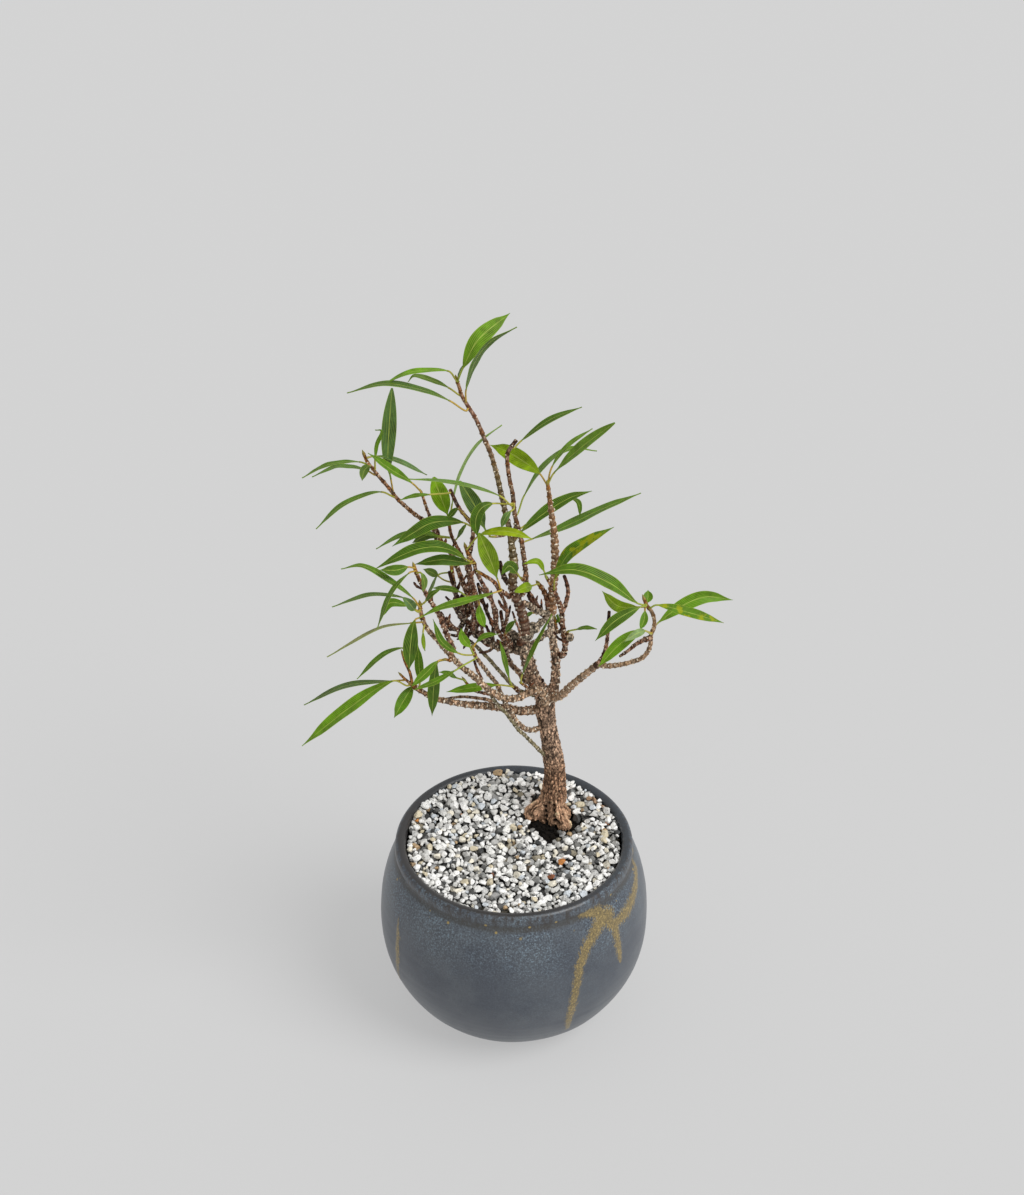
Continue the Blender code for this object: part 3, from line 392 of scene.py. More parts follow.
# Outline of the bare patch, in mm from the foot
BARE = rows("-12,5 -13,1 -16,-5 -10.5,-12 -6,-19.5 0,-23.5 4,-15.5 10,-15.5 14.5,-8 11,1 7,7 -1,9 -8,9")
CRUMBS = 420
CRUMB_SIZES = (0.7, 0.9, 1.1, 1.4, 1.9)


def clamp(value):
    return max(0.0, min(1.0, value))


def add_colour(made, colours):
    """Store a tone for each point of a mesh, for its material."""
    flat = np.array(colours, dtype=np.float32).ravel()
    made.data.attributes.new("tone", "FLOAT_COLOR", "POINT").data.foreach_set("color", flat)


def as_blank(made):
    """The points and faces of an object, which is removed, for copies of it."""
    blank = get_points(made), [tuple(face.vertices) for face in made.data.polygons]
    bpy.data.objects.remove(made)
    return blank


def scattered(name, blanks, placings, surface, colours=None):
    """One mesh of many copies of a few blanks. A placing is the blank's number, a place, three
    sizes and a turn. Each copy can have its own colour."""
    places, faces, paints, start = [], [], [], 0
    for at, (which, place, sizes, turn) in enumerate(placings):
        shape, sides = blanks[which]
        places.append((shape * np.array(sizes)) @ np.array(turn.to_matrix()).T + np.array(place))
        faces += [tuple(corner + start for corner in side) for side in sides]
        start += len(shape)
        paints += [colours[at]] * len(shape) if colours else []
    mesh = bpy.data.meshes.new(name)
    mesh.from_pydata(np.concatenate(places).tolist(), [], faces)
    mesh.materials.append(surface)
    made = add_object(name, mesh)
    if colours:
        add_colour(made, paints)
    return made


def bare_gap(x, y):
    """Distance in mm outside the bare patch round the foot, below nothing inside it."""
    x, y = x / MM - FOOT.x / MM, y / MM - FOOT.y / MM
    inside, least = False, 1e9
    for (ax, ay), (bx, by) in zip(BARE, BARE[1:] + BARE[:1]):
        if (ay > y) != (by > y) and x < ax + (y - ay) / (by - ay) * (bx - ax):
            inside = not inside
        share = clamp(((x - ax) * (bx - ax) + (y - ay) * (by - ay)) / ((bx - ax)**2 + (by - ay)**2))
        least = min(least, ((ax + share * (bx - ax) - x)**2 + (ay + share * (by - ay) - y)**2)**0.5)
    return -least if inside else least


def soil_height(x, y):
    """Height of the soil at a place: level, and heaped in the bare patch."""
    heap = clamp(0.55 - bare_gap(x, y) / 4.5)
    rough = lumps((x, y, 0), 420) * 0.5 + lumps((x, y, 0.1), 1300) * 0.35
    return (SOIL_TOP + (SOIL_AT_FOOT - SOIL_TOP) * heap * heap * (3 - 2 * heap)
            + rough * (0.3 + 0.7 * heap)) * MM


soil_outline = SOIL_INSIDE + [(ring, SOIL_TOP) for ring in np.arange(48, 0, -0.8)] + [(0, SOIL_TOP)]
soil = spun("soil_body", [(radius * MM, height * MM) for radius, height in soil_outline], 240)
grown = get_points(soil)
for point in grown:
    if point[2] > (SOIL_TOP - 0.1) * MM and np.hypot(point[0], point[1]) < SOIL_EDGE:
        point[2] = soil_height(point[0], point[1])
set_points(soil, grown)
smooth(soil)

# Damp peat and bark fines drink the light, with crumbs of about 1.5 mm
mix, node, shader, where = new_material("damp_potting_mix")
crumb = node("TexNoise", where, Scale=700.0, Detail=4.0, Roughness=0.8)
black = node("Mix", node("MapRange", crumb, 0.42, 0.72), linear("#070605"), linear("#261e17"), **OVER)
set_node(shader, Base_Color=black, Roughness=0.92, Specular_IOR_Level=0.25,
         Normal=node("Bump", Height=crumb, Strength=0.9, Distance=0.6 * MM))
soil.data.materials.append(mix)

rng = random.Random(11)


def any_way(source, flat=False):
    """A random direction."""
    return Vector([source.gauss(0, 1) for _ in range(2 if flat else 3)] + [0] * flat).normalized()


def stone_blank(cuts):
    """A rounded lump cut flat by planes, like a broken stone, one unit across."""
    select()
    bpy.ops.mesh.primitive_ico_sphere_add(subdivisions=1, radius=0.5)
    bpy.ops.object.mode_set(mode="EDIT")
    for cut in range(cuts):
        out = any_way(rng)
        bpy.ops.mesh.select_all(action="SELECT")
        bpy.ops.mesh.bisect(plane_co=out * rng.uniform(0.2, 0.36), plane_no=out, use_fill=True,
                            clear_outer=True)
    bpy.ops.object.mode_set(mode="OBJECT")
    return as_blank(bpy.context.object)


crumb_blanks = [stone_blank(3) for _ in range(3)]
placings = []
while len(placings) < CRUMBS:
    x, y = FOOT.x + rng.uniform(-17, 17) * MM, FOOT.y + rng.uniform(-26, 14) * MM
    if bare_gap(x, y) < 1.0:
        size = rng.choice(CRUMB_SIZES) * MM
        place = (x, y, soil_height(x, y) + size * rng.uniform(0.0, 0.3))
        which, sizes = rng.randrange(3), [size * rng.uniform(0.7, 1.3) for _ in range(3)]
        turn = Matrix.Rotation(rng.uniform(0, 2 * pi), 3, any_way(rng)).to_quaternion()
        placings.append((which, place, sizes, turn))
crumbs = scattered("soil_crumbs", crumb_blanks, placings, mix)
for made in (soil, crumbs):
    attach(made, "root")
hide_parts("soil")

# Grit: crushed pale granite and quartz, 1.5 to 5 mm, poured over the soil in a layer a few
# stones deep. Each stone is dropped where the layer is lowest, so that it piles as poured grit
# does, and is loose. A few are orange or dark.
GRIT_TOP = 87.4
GRIT_DIP = 2.2
GRIT_RISE = 1.6
GRIT_RADIUS = 47.9
GRIT_SIZES = (1.8, 2.0, 2.2, 2.5, 2.5, 2.7, 3.0, 3.2, 3.4, 3.8, 4.6)
GRIT_DROPS = 9000
GRIT_SHAPES = 9
# The map of the layer's height: half its width, a cell and the square of its round edge, in mm,
# and the cells that a stone can reach
MAP_HALF = 50
MAP_CELL = 0.5
MAP_EDGE = 2400
STONE_CELLS = 7
# How many of a hundred or so stones have each colour
GRIT_COLOURS = {"#fbfaf7": 40, "#efeeea": 22, "#d4d3cf": 12, "#b3b2ae": 6, "#efe8d6": 8, "#d8ccb0": 4,
                "#d3d9de": 6, "#8d8d8a": 5, "#5c5c5a": 3, "#3f4040": 2, "#b99d78": 2}
# Odd stones that the photograph shows: a pixel and a colour
ODD_STONES = [(418, 820, "#d08a44"), (462, 812, "#cf9c78"), (607, 823, "#b9784a"), (563, 862, "#c07c3c"),
              (596, 801, "#b09072"), (602, 806, "#b7977a"), (590, 800, "#a98a6c"), (552, 878, "#8f5636"),
              (610, 864, "#c9a98c"), (495, 872, "#8a5a40")]

grit_blanks = [stone_blank(9) for _ in range(GRIT_SHAPES)]
axis = (np.arange(int(2 * MAP_HALF / MAP_CELL)) + 0.5) * MAP_CELL - MAP_HALF


def mapped(measure):
    """A measure at each cell of the map, and a height above all stones past its edge."""
    return np.array([[measure(x * MM, y * MM) if x * x + y * y < MAP_EDGE else 99 for y in axis]
                     for x in axis])


level = mapped(lambda x, y: soil_height(x, y) / MM)
gap_map = mapped(bare_gap)
tops = GRIT_TOP - GRIT_DIP * np.clip(1 - np.clip(gap_map, 0, None) / 7, 0, 1) * np.where(axis > 18, 0.2, 1)
tops += GRIT_RISE * np.clip(axis / 42, -0.45, 1)
span = np.arange(-STONE_CELLS, STONE_CELLS + 1)
reach_gap = np.hypot(*np.meshgrid(span, span, indexing="ij")) * MAP_CELL
within = range(STONE_CELLS + 1, len(axis) - STONE_CELLS - 1)
inside = [(i, j) for i in within for j in within
          if np.hypot(axis[i], axis[j]) < GRIT_RADIUS and gap_map[i, j] > -2.5]
placings, colours = [], []
for drop in range(GRIT_DROPS):
    tries = []
    while not tries:
        size = rng.choice(GRIT_SIZES)
        tries = [rng.choice(inside) for _ in range(14)]
        tries = [at for at in tries if np.hypot(axis[at[0]], axis[at[1]]) < GRIT_RADIUS - size * 0.45
                 and (gap_map[at] > size * 0.35 or rng.random() < 0.05)]
    i, j = min(tries, key=lambda at: level[at] - tops[at])
    foot = reach_gap < size * 0.5
    under = level[i - STONE_CELLS:i + STONE_CELLS + 1, j - STONE_CELLS:j + STONE_CELLS + 1]
    rest = float(np.quantile(under[foot], 0.55))
    if rest > tops[i, j] - 0.8 and rng.random() < 0.985:
        continue
    flat = rng.uniform(0.6, 0.9)
    middle = rest + size * 0.34 * flat
    crown = middle + np.sqrt(np.maximum(0, (size / 2)**2 - reach_gap**2)) * flat
    under[foot] = np.maximum(under[foot], crown[foot])
    turn = Matrix.Rotation(rng.uniform(0, 2 * pi), 3, "Z").to_quaternion()
    tip = Matrix.Rotation(rng.uniform(-0.6, 0.6), 3, any_way(rng, True)).to_quaternion()
    sizes = (size * rng.uniform(1.0, 1.35) * MM, size * rng.uniform(0.85, 1.1) * MM, size * flat * 1.1 * MM)
    spot = (axis[i] * MM, axis[j] * MM, middle * MM)
    placings.append((rng.randrange(GRIT_SHAPES), spot, sizes, tip @ turn))
    # Painted shade: a stone that lies lower than the layer's top is coloured darker, for the shade in the
    # gaps between stones
    sunk_shade = clamp((tops[i, j] - 0.75 - middle) / 1.4)
    code = rng.choices(list(GRIT_COLOURS), GRIT_COLOURS.values())[0]
    colours.append([part * (1 - 0.9 * sunk_shade) for part in linear(code)])
high = [at for at, placing in enumerate(placings) if placing[1][2] > (GRIT_TOP - 1.5) * MM]
for across, down, code in ODD_STONES:
    line = sight(across, down) - EYE
    spot = EYE + line * ((GRIT_TOP * MM - EYE.z) / line.z)
    colours[min(high, key=lambda at: (Vector(placings[at][1]) - spot).length)] = linear(code)

# Broken crystals of quartz, felspar and mica, about 1.5 mm, each of its own shade
granite, node, shader, where = new_material("crushed_granite")
mineral = node("TexNoise", where, Scale=620.0, Detail=3.0, Roughness=0.7)
speck = node("MapRange", node("TexVoronoi", where, Scale=900.0), 0.27, 0.14, 0.0, 0.7)
shade = node("MapRange", mineral, 0.32, 0.46, 0.62, 1.1)
body = node("Mix", 1.0, node("Attribute", attribute_name="tone"), shade, **TINT)
set_node(shader, Base_Color=node("Mix", speck, body, linear("#4a4a48"), **OVER), Roughness=0.62,
         Normal=node("Bump", Height=mineral, Strength=0.5, Distance=0.3 * MM))
half = len(placings) // 2
for at, part in enumerate((slice(0, half), slice(half, None)), 1):
    grit = scattered(f"grit_{at}", grit_blanks, placings[part], granite, colours[part])
    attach(grit, "root")
    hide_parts("gravel")

# Wood: the trunk, its swollen foot and the twigs grew as one. Old bark is rough and flaky, grey
# to tan brown. Young bark is smoother, reddish, with pale pores and the pale scars of leaves.
# Points are two pixels of the photograph and mm behind the pot's axis, some with a radius in mm.
TRUNK = rows("552,815,21.5,7 553,800,22,6.2 554,788,22,5.4 555,772,22,4.8 553,756,22,4.7 550,738,22,4.1"
             " 547,722,22,4 545,708,22,4.6 546,697,22,4")
# Lobes of the foot: out from it and radius in mm
LOBES = rows("-9,-1.7,4.1 -0.4,-5.6,2.5 4.4,-7.8,3.2 6.2,-1.2,2.4 -2.5,6.5,3.6 4,6,3")
KNOTS = rows("520,645,20,4.4 511,638,21,3.7 526,634,19,3.5 533,628,19,2.7 507,648,20,2.7 570,637,19,1.9")
# Branches: what each grows from, its bark, how many short pruned spurs it has, its radius in mm
# there and at its end, the point from which it is leafy (- where it is bare), and its points
BRANCHES = """
left_stem trunk old 0 3.3 2.8 - 537,686,22 530.5,671,21 527,657,20 521,645,20
dark_nub left_stem dark 0 1.1 0.9 - 542.5,680.5,21
right_stem trunk old 0 2.3 1.5 - 553,690,23 555.5,674,24 555.5,656,25 553,640,26 551,622,27
    551.5,612,26.7
orange_tip right_stem red 0 1.5 0.9 2 549,606,26 547,598,25 542.5,589,24 538.5,583.5,23
right_fork right_stem red 4 1.25 1.1 - 563,655,23 565,645,21 563.5,635,19 562.5,622,18 562,611,17
gall_neck right_fork red 0 1.0 1.0 - 570,637,19
fork_spray right_fork red 0 0.75 0.6 0 566.5,634,16 568,632,14
dark_twiglet right_fork dark 0 0.8 0.6 1 558,632,17 556,625,15 555,619,14
dark_tip right_fork red 0 1.0 0.8 - 566,602,18 568,592,19 566.5,582,20 564.5,576,21
heart right_fork red 0 1.05 0.7 1 558.5,601,15 555,593,13 549.5,583,12 546.5,577.5,11
tall_right right_stem rust 0 1.7 0.85 6 552,603,26 553,587,23 555,569,20 555,550,16 554,533,13
    551.5,514,10 549.5,498,8 547.5,484,6
right_branch trunk fawn 0 1.8 1.4 - 560,696,18 573,684,14 586,674,10 598,664,6
right_bare right_branch red 0 0.9 0.75 - 604,654,7 607,640,8 608.5,624,9 609,612,10
right_low right_branch hazel 0 1.1 0.8 6 607,666,5 619,665,4 632,662,3 642,658.5,2 648,651,1
    650.5,643,0 651,635,0 654,627,0 654,618,0 651,611,0 647,606,0 644.5,600,1
right_spur right_low red 0 1.1 0.6 - 643,640.5,-2 635,645,-4 629,650,-5 620,656,-6
low_left trunk tan 0 2.0 1.0 7 524,711,19 511,709,16 497,707,13 483,705.5,10 467,704.5,7 449,701.5,4
    433,698,2 423,692,0 416,688,-1 411,684,-2
low_thin low_left tan 0 0.8 0.55 - 491,701,14 476,698,13 461,697,12 446,699,11
loop trunk cream 0 1.2 0.8 9 533,730,19 524,728,16 517,722,14 512,714,13 507,706,13 501,694,14
    496,683,14 488,673,11 482,665,7 479,661,5 475,655,3 472.5,648,1
thin_olive trunk olive 0 0.9 0.7 - 545,754,20 537,747.5,17 528,738.5,14.5 519,730,11 512,721,9
    505,712,8 497,704,7 487,689,4
pale_olive right_stem olive 0 1.0 0.75 - 535,695,22 522,692,20 514,687,20 505,677,20 496,667,21
    487,657,22 479,649,23 474,644.5,24 467,639,25
olive_spur pale_olive red 0 0.85 0.65 1 518,691,17 515,688.5,14 512.5,686.5,12
stem_spur left_stem red 0 0.8 0.6 1 530,688,16 525,686,13 521,683,10
dark_link left_stem tan 0 1.2 1.1 - 525,680,26 518,671,27 511,664,26 507,656,23 506,649,21
speckled trunk cream 0 1.8 0.9 15 545,703,17.5 544.5,696,16 540,690.5,15.5 533,689.5,14 526,694,12
    518,698,10 508,699,8 499,696.5,6 490,690.5,4 481,683,2 471,674,0 462,667,-2 455,660,-3
    446,650,-5 438,641,-7 431,633,-9 425,625,-10 421,614,-10 420,605,-10
speckled_reddish speckled red 0 0.75 0.6 - 481,678,5 477,669,7 474.5,661,9
speckled_stub speckled red 0 0.8 0.6 2 481,692.5,12 471,689,15 467,684,15 464.5,680.5,15
speckled_spur speckled red 0 0.8 0.6 0 451,660,-8 446,659.5,-11
speckled_up speckled red 3 1.2 0.8 7 452.5,649,-3 448,638,-3 444,627,-4 440,617,-5 435,608,-6
    428.5,598,-7 422,586,-8 417,575,-9 414,567,-9
left_limb left_stem old 12 2.0 1.3 - 510,648,20 500,647,22 490,643,24 481,638,26 475,631,27
    469,624,28 461,617,29
inner_rise left_limb red 0 0.8 0.6 - 498,630,17 496.5,612,14 493,603,13 487.5,596,12 481,588,12
inner_stub left_limb red 0 0.75 0.6 - 503.5,630,16 502,619,14 501,611,14
inner_thorn left_stem red 0 0.65 0.45 - 519,630,14 515.5,621,13 512.5,612,12
inner_front left_limb red 1 0.8 0.65 - 473,630,21 473.5,617,17 471.5,603.5,16 466.7,588,16
    461,577,16
inner_pair left_limb red 1 0.75 0.6 - 482,633,21 480,614,18 477.5,598,17 473,583,18 467,569,20
low_reddish left_limb red 2 0.85 0.65 - 463,636,17 456,629,13 448,622.5,10 441,615,8
dark_mass left_limb umber 3 1.0 0.8 - 464,614,24 458,600,23 454,587,23 449.5,572,24
tall_left left_limb red 3 1.0 0.7 6 473.5,620,27 471.5,606,27 470.5,592,26 469,577,24 466,565,22
    461,554,20 456,545,19 451,534,18 449,522,18
dark_bare left_limb dark 3 0.9 0.5 - 452,604,31 446,597,32
dark_hook left_limb dark 3 0.75 0.6 - 464,611,31 466,604,33 463,596,35
dark_twig left_limb dark 4 1.2 0.9 2 457.5,603,30 455.5,593,31 454,585,32 452.5,575,33 451.5,567,34
low_dark left_limb dark 4 1.0 0.7 - 459,629,23 450,626,17 445,620,13 441,613,10
low_dark_short left_limb dark 3 0.85 0.55 - 466,637,23 457,636,19 447,634,15
upper_left left_limb bronze 7 1.2 0.7 10 469,612,30 469,600,30 465.5,589,29 461,577,28 456,564,27
    450,552,26 443,544,25 436.5,533,24 428,523,23 416,515,22 404,505,20 396,497,19 388,487,18
    380,478,18 373,469,18 367,462,18 364,455,18
upper_twiglet upper_left red 0 0.8 0.6 0 438,533,20 433,523,20 428.5,513,19 425,504,18 421.5,493,17
mid_left left_limb red 3 1.15 0.8 6 479,621,22 477,606,19 474,590,17 471,575,16 469,561,16
    471,547,16 473,536,15 472,525,15 466,517,15 460,509,15 455,500,16 450,490,16
mid_spur mid_left red 0 0.75 0.6 0 471.5,598,14 468,596.5,11
hanging_spur mid_left red 0 0.75 0.6 0 478,601,15 478.5,601,12
front_left left_limb red 4 1.1 0.75 4 497,629,14 495,615,12 492,602,11 487,591,10 481,581,9
    476,571,8 474,563,8 468,554,9 465.5,547,9
front_mid left_limb red 5 0.95 0.7 - 504,629,16 507,617,13 506,607,12 503,598,11 498,590,11
inner_dark left_limb dark 6 0.95 0.7 - 494,628,24 489,617,25 485,607,26 481,596,27 478,584,28
knot_leaf left_limb red 0 0.75 0.6 0 505,635,14 505.5,633,11
crown left_stem ochre 0 2.3 0.75 15 525,631,18 523,618,17 520,607,16 516,597,15 512.5,587,14
    513.5,574,14 514,562,14 512,548,14 510,534,14 507,519,14 503,502,13 499,484,12 494,464,11
    489,449,10 484,438,10 480,428,10 474,416,10 467,405,10 462,396,10 459,387,10 457,380,10
front_orange crown red 0 1.1 0.75 1 511,597,10 504,592.5,7 499,589,5 493,581,4 485,576,4 480,573,4
crown_dark crown dark 3 1.2 0.9 - 506,580,17 502,571,20 500,562,22
crown_spur crown olive 0 0.55 0.5 0 502,536,12 494,536.5,11
tall_middle crown sienna 0 1.1 0.85 3 524,592,16 526,579,16 525,566,15 523,552,14 520.5,537,13
    517,524,12 514.5,511,11 513,496,10 510,481,10 507.5,466,11 508,453,12 512,446,13 516.5,440,14
middle_spur tall_middle red 0 0.75 0.6 0 523,580,12 521.5,578.5,10
low_link right_stem old 0 1.2 1.3 - 545,634,25 537,641,22 529,646,20
mid_link right_stem old 0 1.3 1.5 - 543,621,24 536,627,21 530,634,19
back_twig right_stem red 3 1.3 0.9 - 542,614,27 536.5,605,29 531.5,597,31 528,591,32
back_spur back_twig red 0 0.75 0.6 0 541,612.5,31 540,613,34
bridge right_stem old 3 1.2 1.1 - 538,612,21 531,606,18 523,602,16
middle_link crown ochre 0 1.3 1.1 - 514,538,13.5 516,529,12.8 516.5,522,12.2
"""
BARKS = dict(old="#d0ac90", red="#8f5d42", rust="#b28056", tan="#ad8768", dark="#543629",
             olive="#8f8460", tip="#b27636", ochre="#8a7144", flare="#fac8a2", burl="#dcc9b0",
             hollow="#120d0b", scar="#fdf0da", cream="#b38f6f", base="#bf9475", bronze="#9b6740",
             sienna="#885834", fawn="#cfa988", hazel="#ba936f", umber="#6e4836")
BARKS = {name: linear(code) for name, code in BARKS.items()}
# Radii in mm at shares of a branch's length, where it doesn't taper evenly
WIDTHS = {"crown": ((0, 2.2), (0.34, 1.8), (0.44, 1.2), (0.6, 1.1), (1, 0.75)),
          "tall_right": ((0, 1.75), (0.5, 1.6), (0.75, 1.25), (1, 0.8))}
# How strongly the scales of the smoother stems show
SCALY = dict(crown=0.5, tall_right=0.55, tall_middle=0.75, middle_link=0.6, right_branch=0.65, right_low=0.6,
             pale_olive=0.45, thin_olive=0.5)
DARK_TIPS = ("mid_left", "tall_middle")
SPUR_WIDE = (0.55, 0.85)
SPUR_LONG = (2.5, 8.5)
# Branches so thick that they are one skin with the trunk, and those with more leaf scars
TRUNK_BRANCHES = ("left_stem", "right_stem", "low_link", "mid_link", "left_limb", "bridge")
SCARRED = ("speckled", "loop", "low_left", "right_stem")
ROOT_DEPTH = 20 * MM
ROOT_RADIUS = 5.0
# Pixels of the photograph where the wood is hollow or the foot's lobes part, and each pit's size
# in mm. Each pit is pressed in and painted near black as painted shade.
HOLLOWS = rows("516.5,644.5,1.7 521.5,641,1 512,648,1 524,653,0.8 509,636,0.9 530,640,0.8 536.5,709,1.2"
               " 539,720,1.1 541,701,0.8 535,693,0.8 549,803,0.6 545,807,0.7 545,812,0.85 545,817,0.9"
               " 545.5,821.5,0.9 553.5,806,0.7 554,811,0.8 554.3,816,0.85 555,821.5,0.9 539.5,802,0.5"
               " 534,809,0.45 537,817,0.5 562,807,0.45 563.5,814,0.5 558.5,801,0.5")
LIMB_STEP = 1.3 * MM
NODE_EVERY = (2.7 * MM, 4.2 * MM)
RING = 0.45 * MM
SKIN_CELL = 0.36 * MM
KNOT_TALL, KNOT_REACH = 108, 14


def nearest(path, place, keep=0.0):
    """The point of a path that is nearest to a place, at least so far from the path's end."""
    total = lengths(path)
    best = None
    for a, b, run in zip(path, path[1:], total):
        line = b - a
        share = clamp((place - a).dot(line) / line.length_squared)
        share = min(share, (total[-1] - keep - run) / line.length)
        if share < 0:
            continue
        point = a + line * share
        if best is None or (point - place).length < (best - place).length:
            best = point
    return best


def heading(path, at=-1):
    """The direction of a path up to one of its points."""
    return (path[at] - path[at - 1]).normalized()


def joined(name, parts):
    """Join objects into the first of them, under a new name."""
    select(parts[0])
    for part in parts:
        part.select_set(True)
    bpy.ops.object.join()
    parts[0].name = name
    return parts[0]


def tube(places, radii, sides, surface, colours):
    """A round bar drawn as a curve with a thickness and a colour at each point, made a mesh."""
    data = bpy.data.curves.new("bar", "CURVE")
    data.dimensions = "3D"
    data.bevel_depth = 1.0
    data.bevel_resolution = (sides - 4) // 2
    data.use_fill_caps = True
    line = data.splines.new("POLY")
    line.points.add(len(places) - 1)
    line.points.foreach_set("co", [value for place in places for value in (*place, 1)])
    line.points.foreach_set("radius", radii)
    select(add_object("bar", data))
    bpy.ops.object.convert(target="MESH")
    made = bpy.context.object
    made.data.materials.clear()
    made.data.materials.append(surface)
    count = len(made.data.vertices)
    paint = np.repeat(np.array(colours), count // len(places), axis=0)
    add_colour(made, np.vstack([paint, np.tile(paint[-1], (count - len(paint), 1))]))
    return made


def mixed(a, b, share):
    return [p + (q - p) * share for p, q in zip(a, b)]


def bark_material(name, cell, deep, pores):
    """Bark in small scales, so many to the metre: each pale in its middle, dark in the cracks
    round it and of its own shade, with some pale pores."""
    made, node, shader, where = new_material(name)
    wobble = node("TexNoise", where, Scale=cell * 1.3, Detail=3.0, Roughness=0.7, out="Color")
    tall = node("Mapping", where, Scale=(1.0, 1.0, 0.6))
    tall = node("VectorMath", wobble, [0.9 / cell] * 3, tall, operation="MULTIPLY_ADD")
    scales = node("TexVoronoi", tall, Scale=cell)
    own = node("SeparateColor", scales.node.outputs["Color"])
    crack = node("MapRange", scales, 0.72, 0.36, deep, 1.25)
    shade = node("Math", node("MapRange", own, 0.0, 1.0, 0.55, 1.4), crack, **TIMES)
    tone = node("Attribute", attribute_name="tone")
    body = node("Mix", 1.0, tone, node("Mix", tone.node.outputs["Alpha"], 0.85, shade), **TINT)
    grain = node("TexNoise", where, Scale=2600.0, Detail=2.0)
    body = node("Mix", 1.0, body, node("MapRange", grain, 0.35, 0.65, 0.72, 1.28), **TINT)
    some = node("MapRange", own.node.outputs["Green"], 1 - pores, 1.02 - pores, 0.0, 0.75)
    light = node("Math", node("MapRange", scales, 0.4, 0.25), some, **TIMES)
    set_node(shader, Base_Color=node("Mix", light, body, linear("#d3b997"), **OVER), Roughness=0.8,
             Specular_IOR_Level=0.2, Normal=node("Bump", Height=crack, Strength=0.7, Distance=0.4 * MM))
    return made


old_bark = bark_material("scaly_old_fig_bark", 1200.0, 0.25, 0.14)
young_bark = bark_material("smooth_young_fig_bark", 1150.0, 0.3, 0.12)


branches = {}
paths = {"trunk": [sight(*point[:3]) for point in TRUNK]}
for row in BRANCHES.replace("\n    ", " ").split("\n")[1:-1]:
    name, parent, bark, spurs, start, end, leafy, *points = row.split()
    branches[name] = (BARKS[bark], int(spurs), float(start), float(end), None if leafy == "-" else int(leafy))
    path = [sight(*point) for point in rows(" ".join(points))]
    paths[name] = [nearest(paths[parent], path[0]), *path]
wood_rng = random.Random(41)
noise.seed_set(41)


def limb(name):
    """Points along a branch, their radii and colours, its nodes, and the point at which its
    leafy part starts. Each node is swollen, with a pale ring between dark ones, and the branch
    has a collar where it leaves its parent."""
    bark, _, start, end, leafy = branches[name]
    path = paths[name]
    total = lengths(path)
    leafy_run = total[-1] if leafy is None else total[leafy + 1]
    nodes, run = [], NODE_EVERY[0]
    while run < total[-1] - 1 * MM:
        nodes.append(run)
        every = NODE_EVERY[0] + (NODE_EVERY[1] - NODE_EVERY[0]) * run / total[-1]
        run += every * wood_rng.uniform(0.75, 1.25)
    count = max(5, int(total[-1] / LIMB_STEP))
    runs = [total[-1] * at / count for at in range(1, count)]
    runs = [run for run in runs if all(abs(run - at) > 1.6 * RING for at in nodes)]
    runs += [leafy_run, 0.0, total[-1]] + [at + shift for at in nodes for shift in (-RING, 0, RING)]
    runs = sorted(set(runs))
    runs = [run for run, after in zip(runs, runs[1:] + [1]) if after - run > 0.1 * MM or run == total[-1]]
    split = min(range(len(runs)), key=lambda at: abs(runs[at] - leafy_run))
    seed = sum(ord(letter) for letter in name)
    tip = BARKS["dark" if leafy is None or name in DARK_TIPS else "tip"]
    shares, widths = zip(*WIDTHS.get(name, ((0, start), (1, end))))
    places, radii, paint = [], [], []
    for run in runs:
        left = total[-1] - run
        sway = noise.noise_vector(Vector((run * 160, seed, 0))) * 0.18 * MM * min(1, run / (4 * MM))
        near = max([exp(-((run - at) / (0.8 * RING))**2) for at in nodes] or [0])
        radius = float(np.interp(run / total[-1], shares, widths)) * MM
        radius *= 1 + 0.10 * lumps((run * 400, seed, 5))
        radius *= 1 + 0.38 * exp(-run / (1.6 * MM + radius))
        radii.append(radius * (0.96 + 0.2 * near))
        places.append(on_curve(path, run) + sway)
        # The crown's stem is painted redder and darker low down as painted shade, where other twigs shade it,
        # and red again where it is young
        shaded = clamp((46 * MM - run) / (12 * MM)) if name == "crown" else 0.0
        young = max(0.0, 1 - left / (50 * MM)) if name == "crown" else 0.0
        tint = mixed(bark, BARKS["red"], min(1.0, 1.5 * young + shaded))
        tint = mixed(tint, tip, 0.85 * max(0.0, 1 - left / ((2.5 if leafy is None else 10) * MM)))
        patch = (0.95 + 0.7 * lumps((run * 300, seed, 9))) * (1 - 0.3 * shaded) * (0.8 + 0.35 * near)
        tint = mixed([part * patch for part in tint], BARKS["scar"], 0.22 * near)
        paint.append([*tint[:3], SCALY.get(name, 1.0)])
    return places, radii, runs, nodes, split, paint


def swept(path, wide, count):
    """Evenly spaced points along a path, and the width at each between those given."""
    total = lengths(path)
    wide = [float(np.interp(total[-1] * at / count, total, wide)) for at in range(count + 1)]
    return spaced(path, count), wide


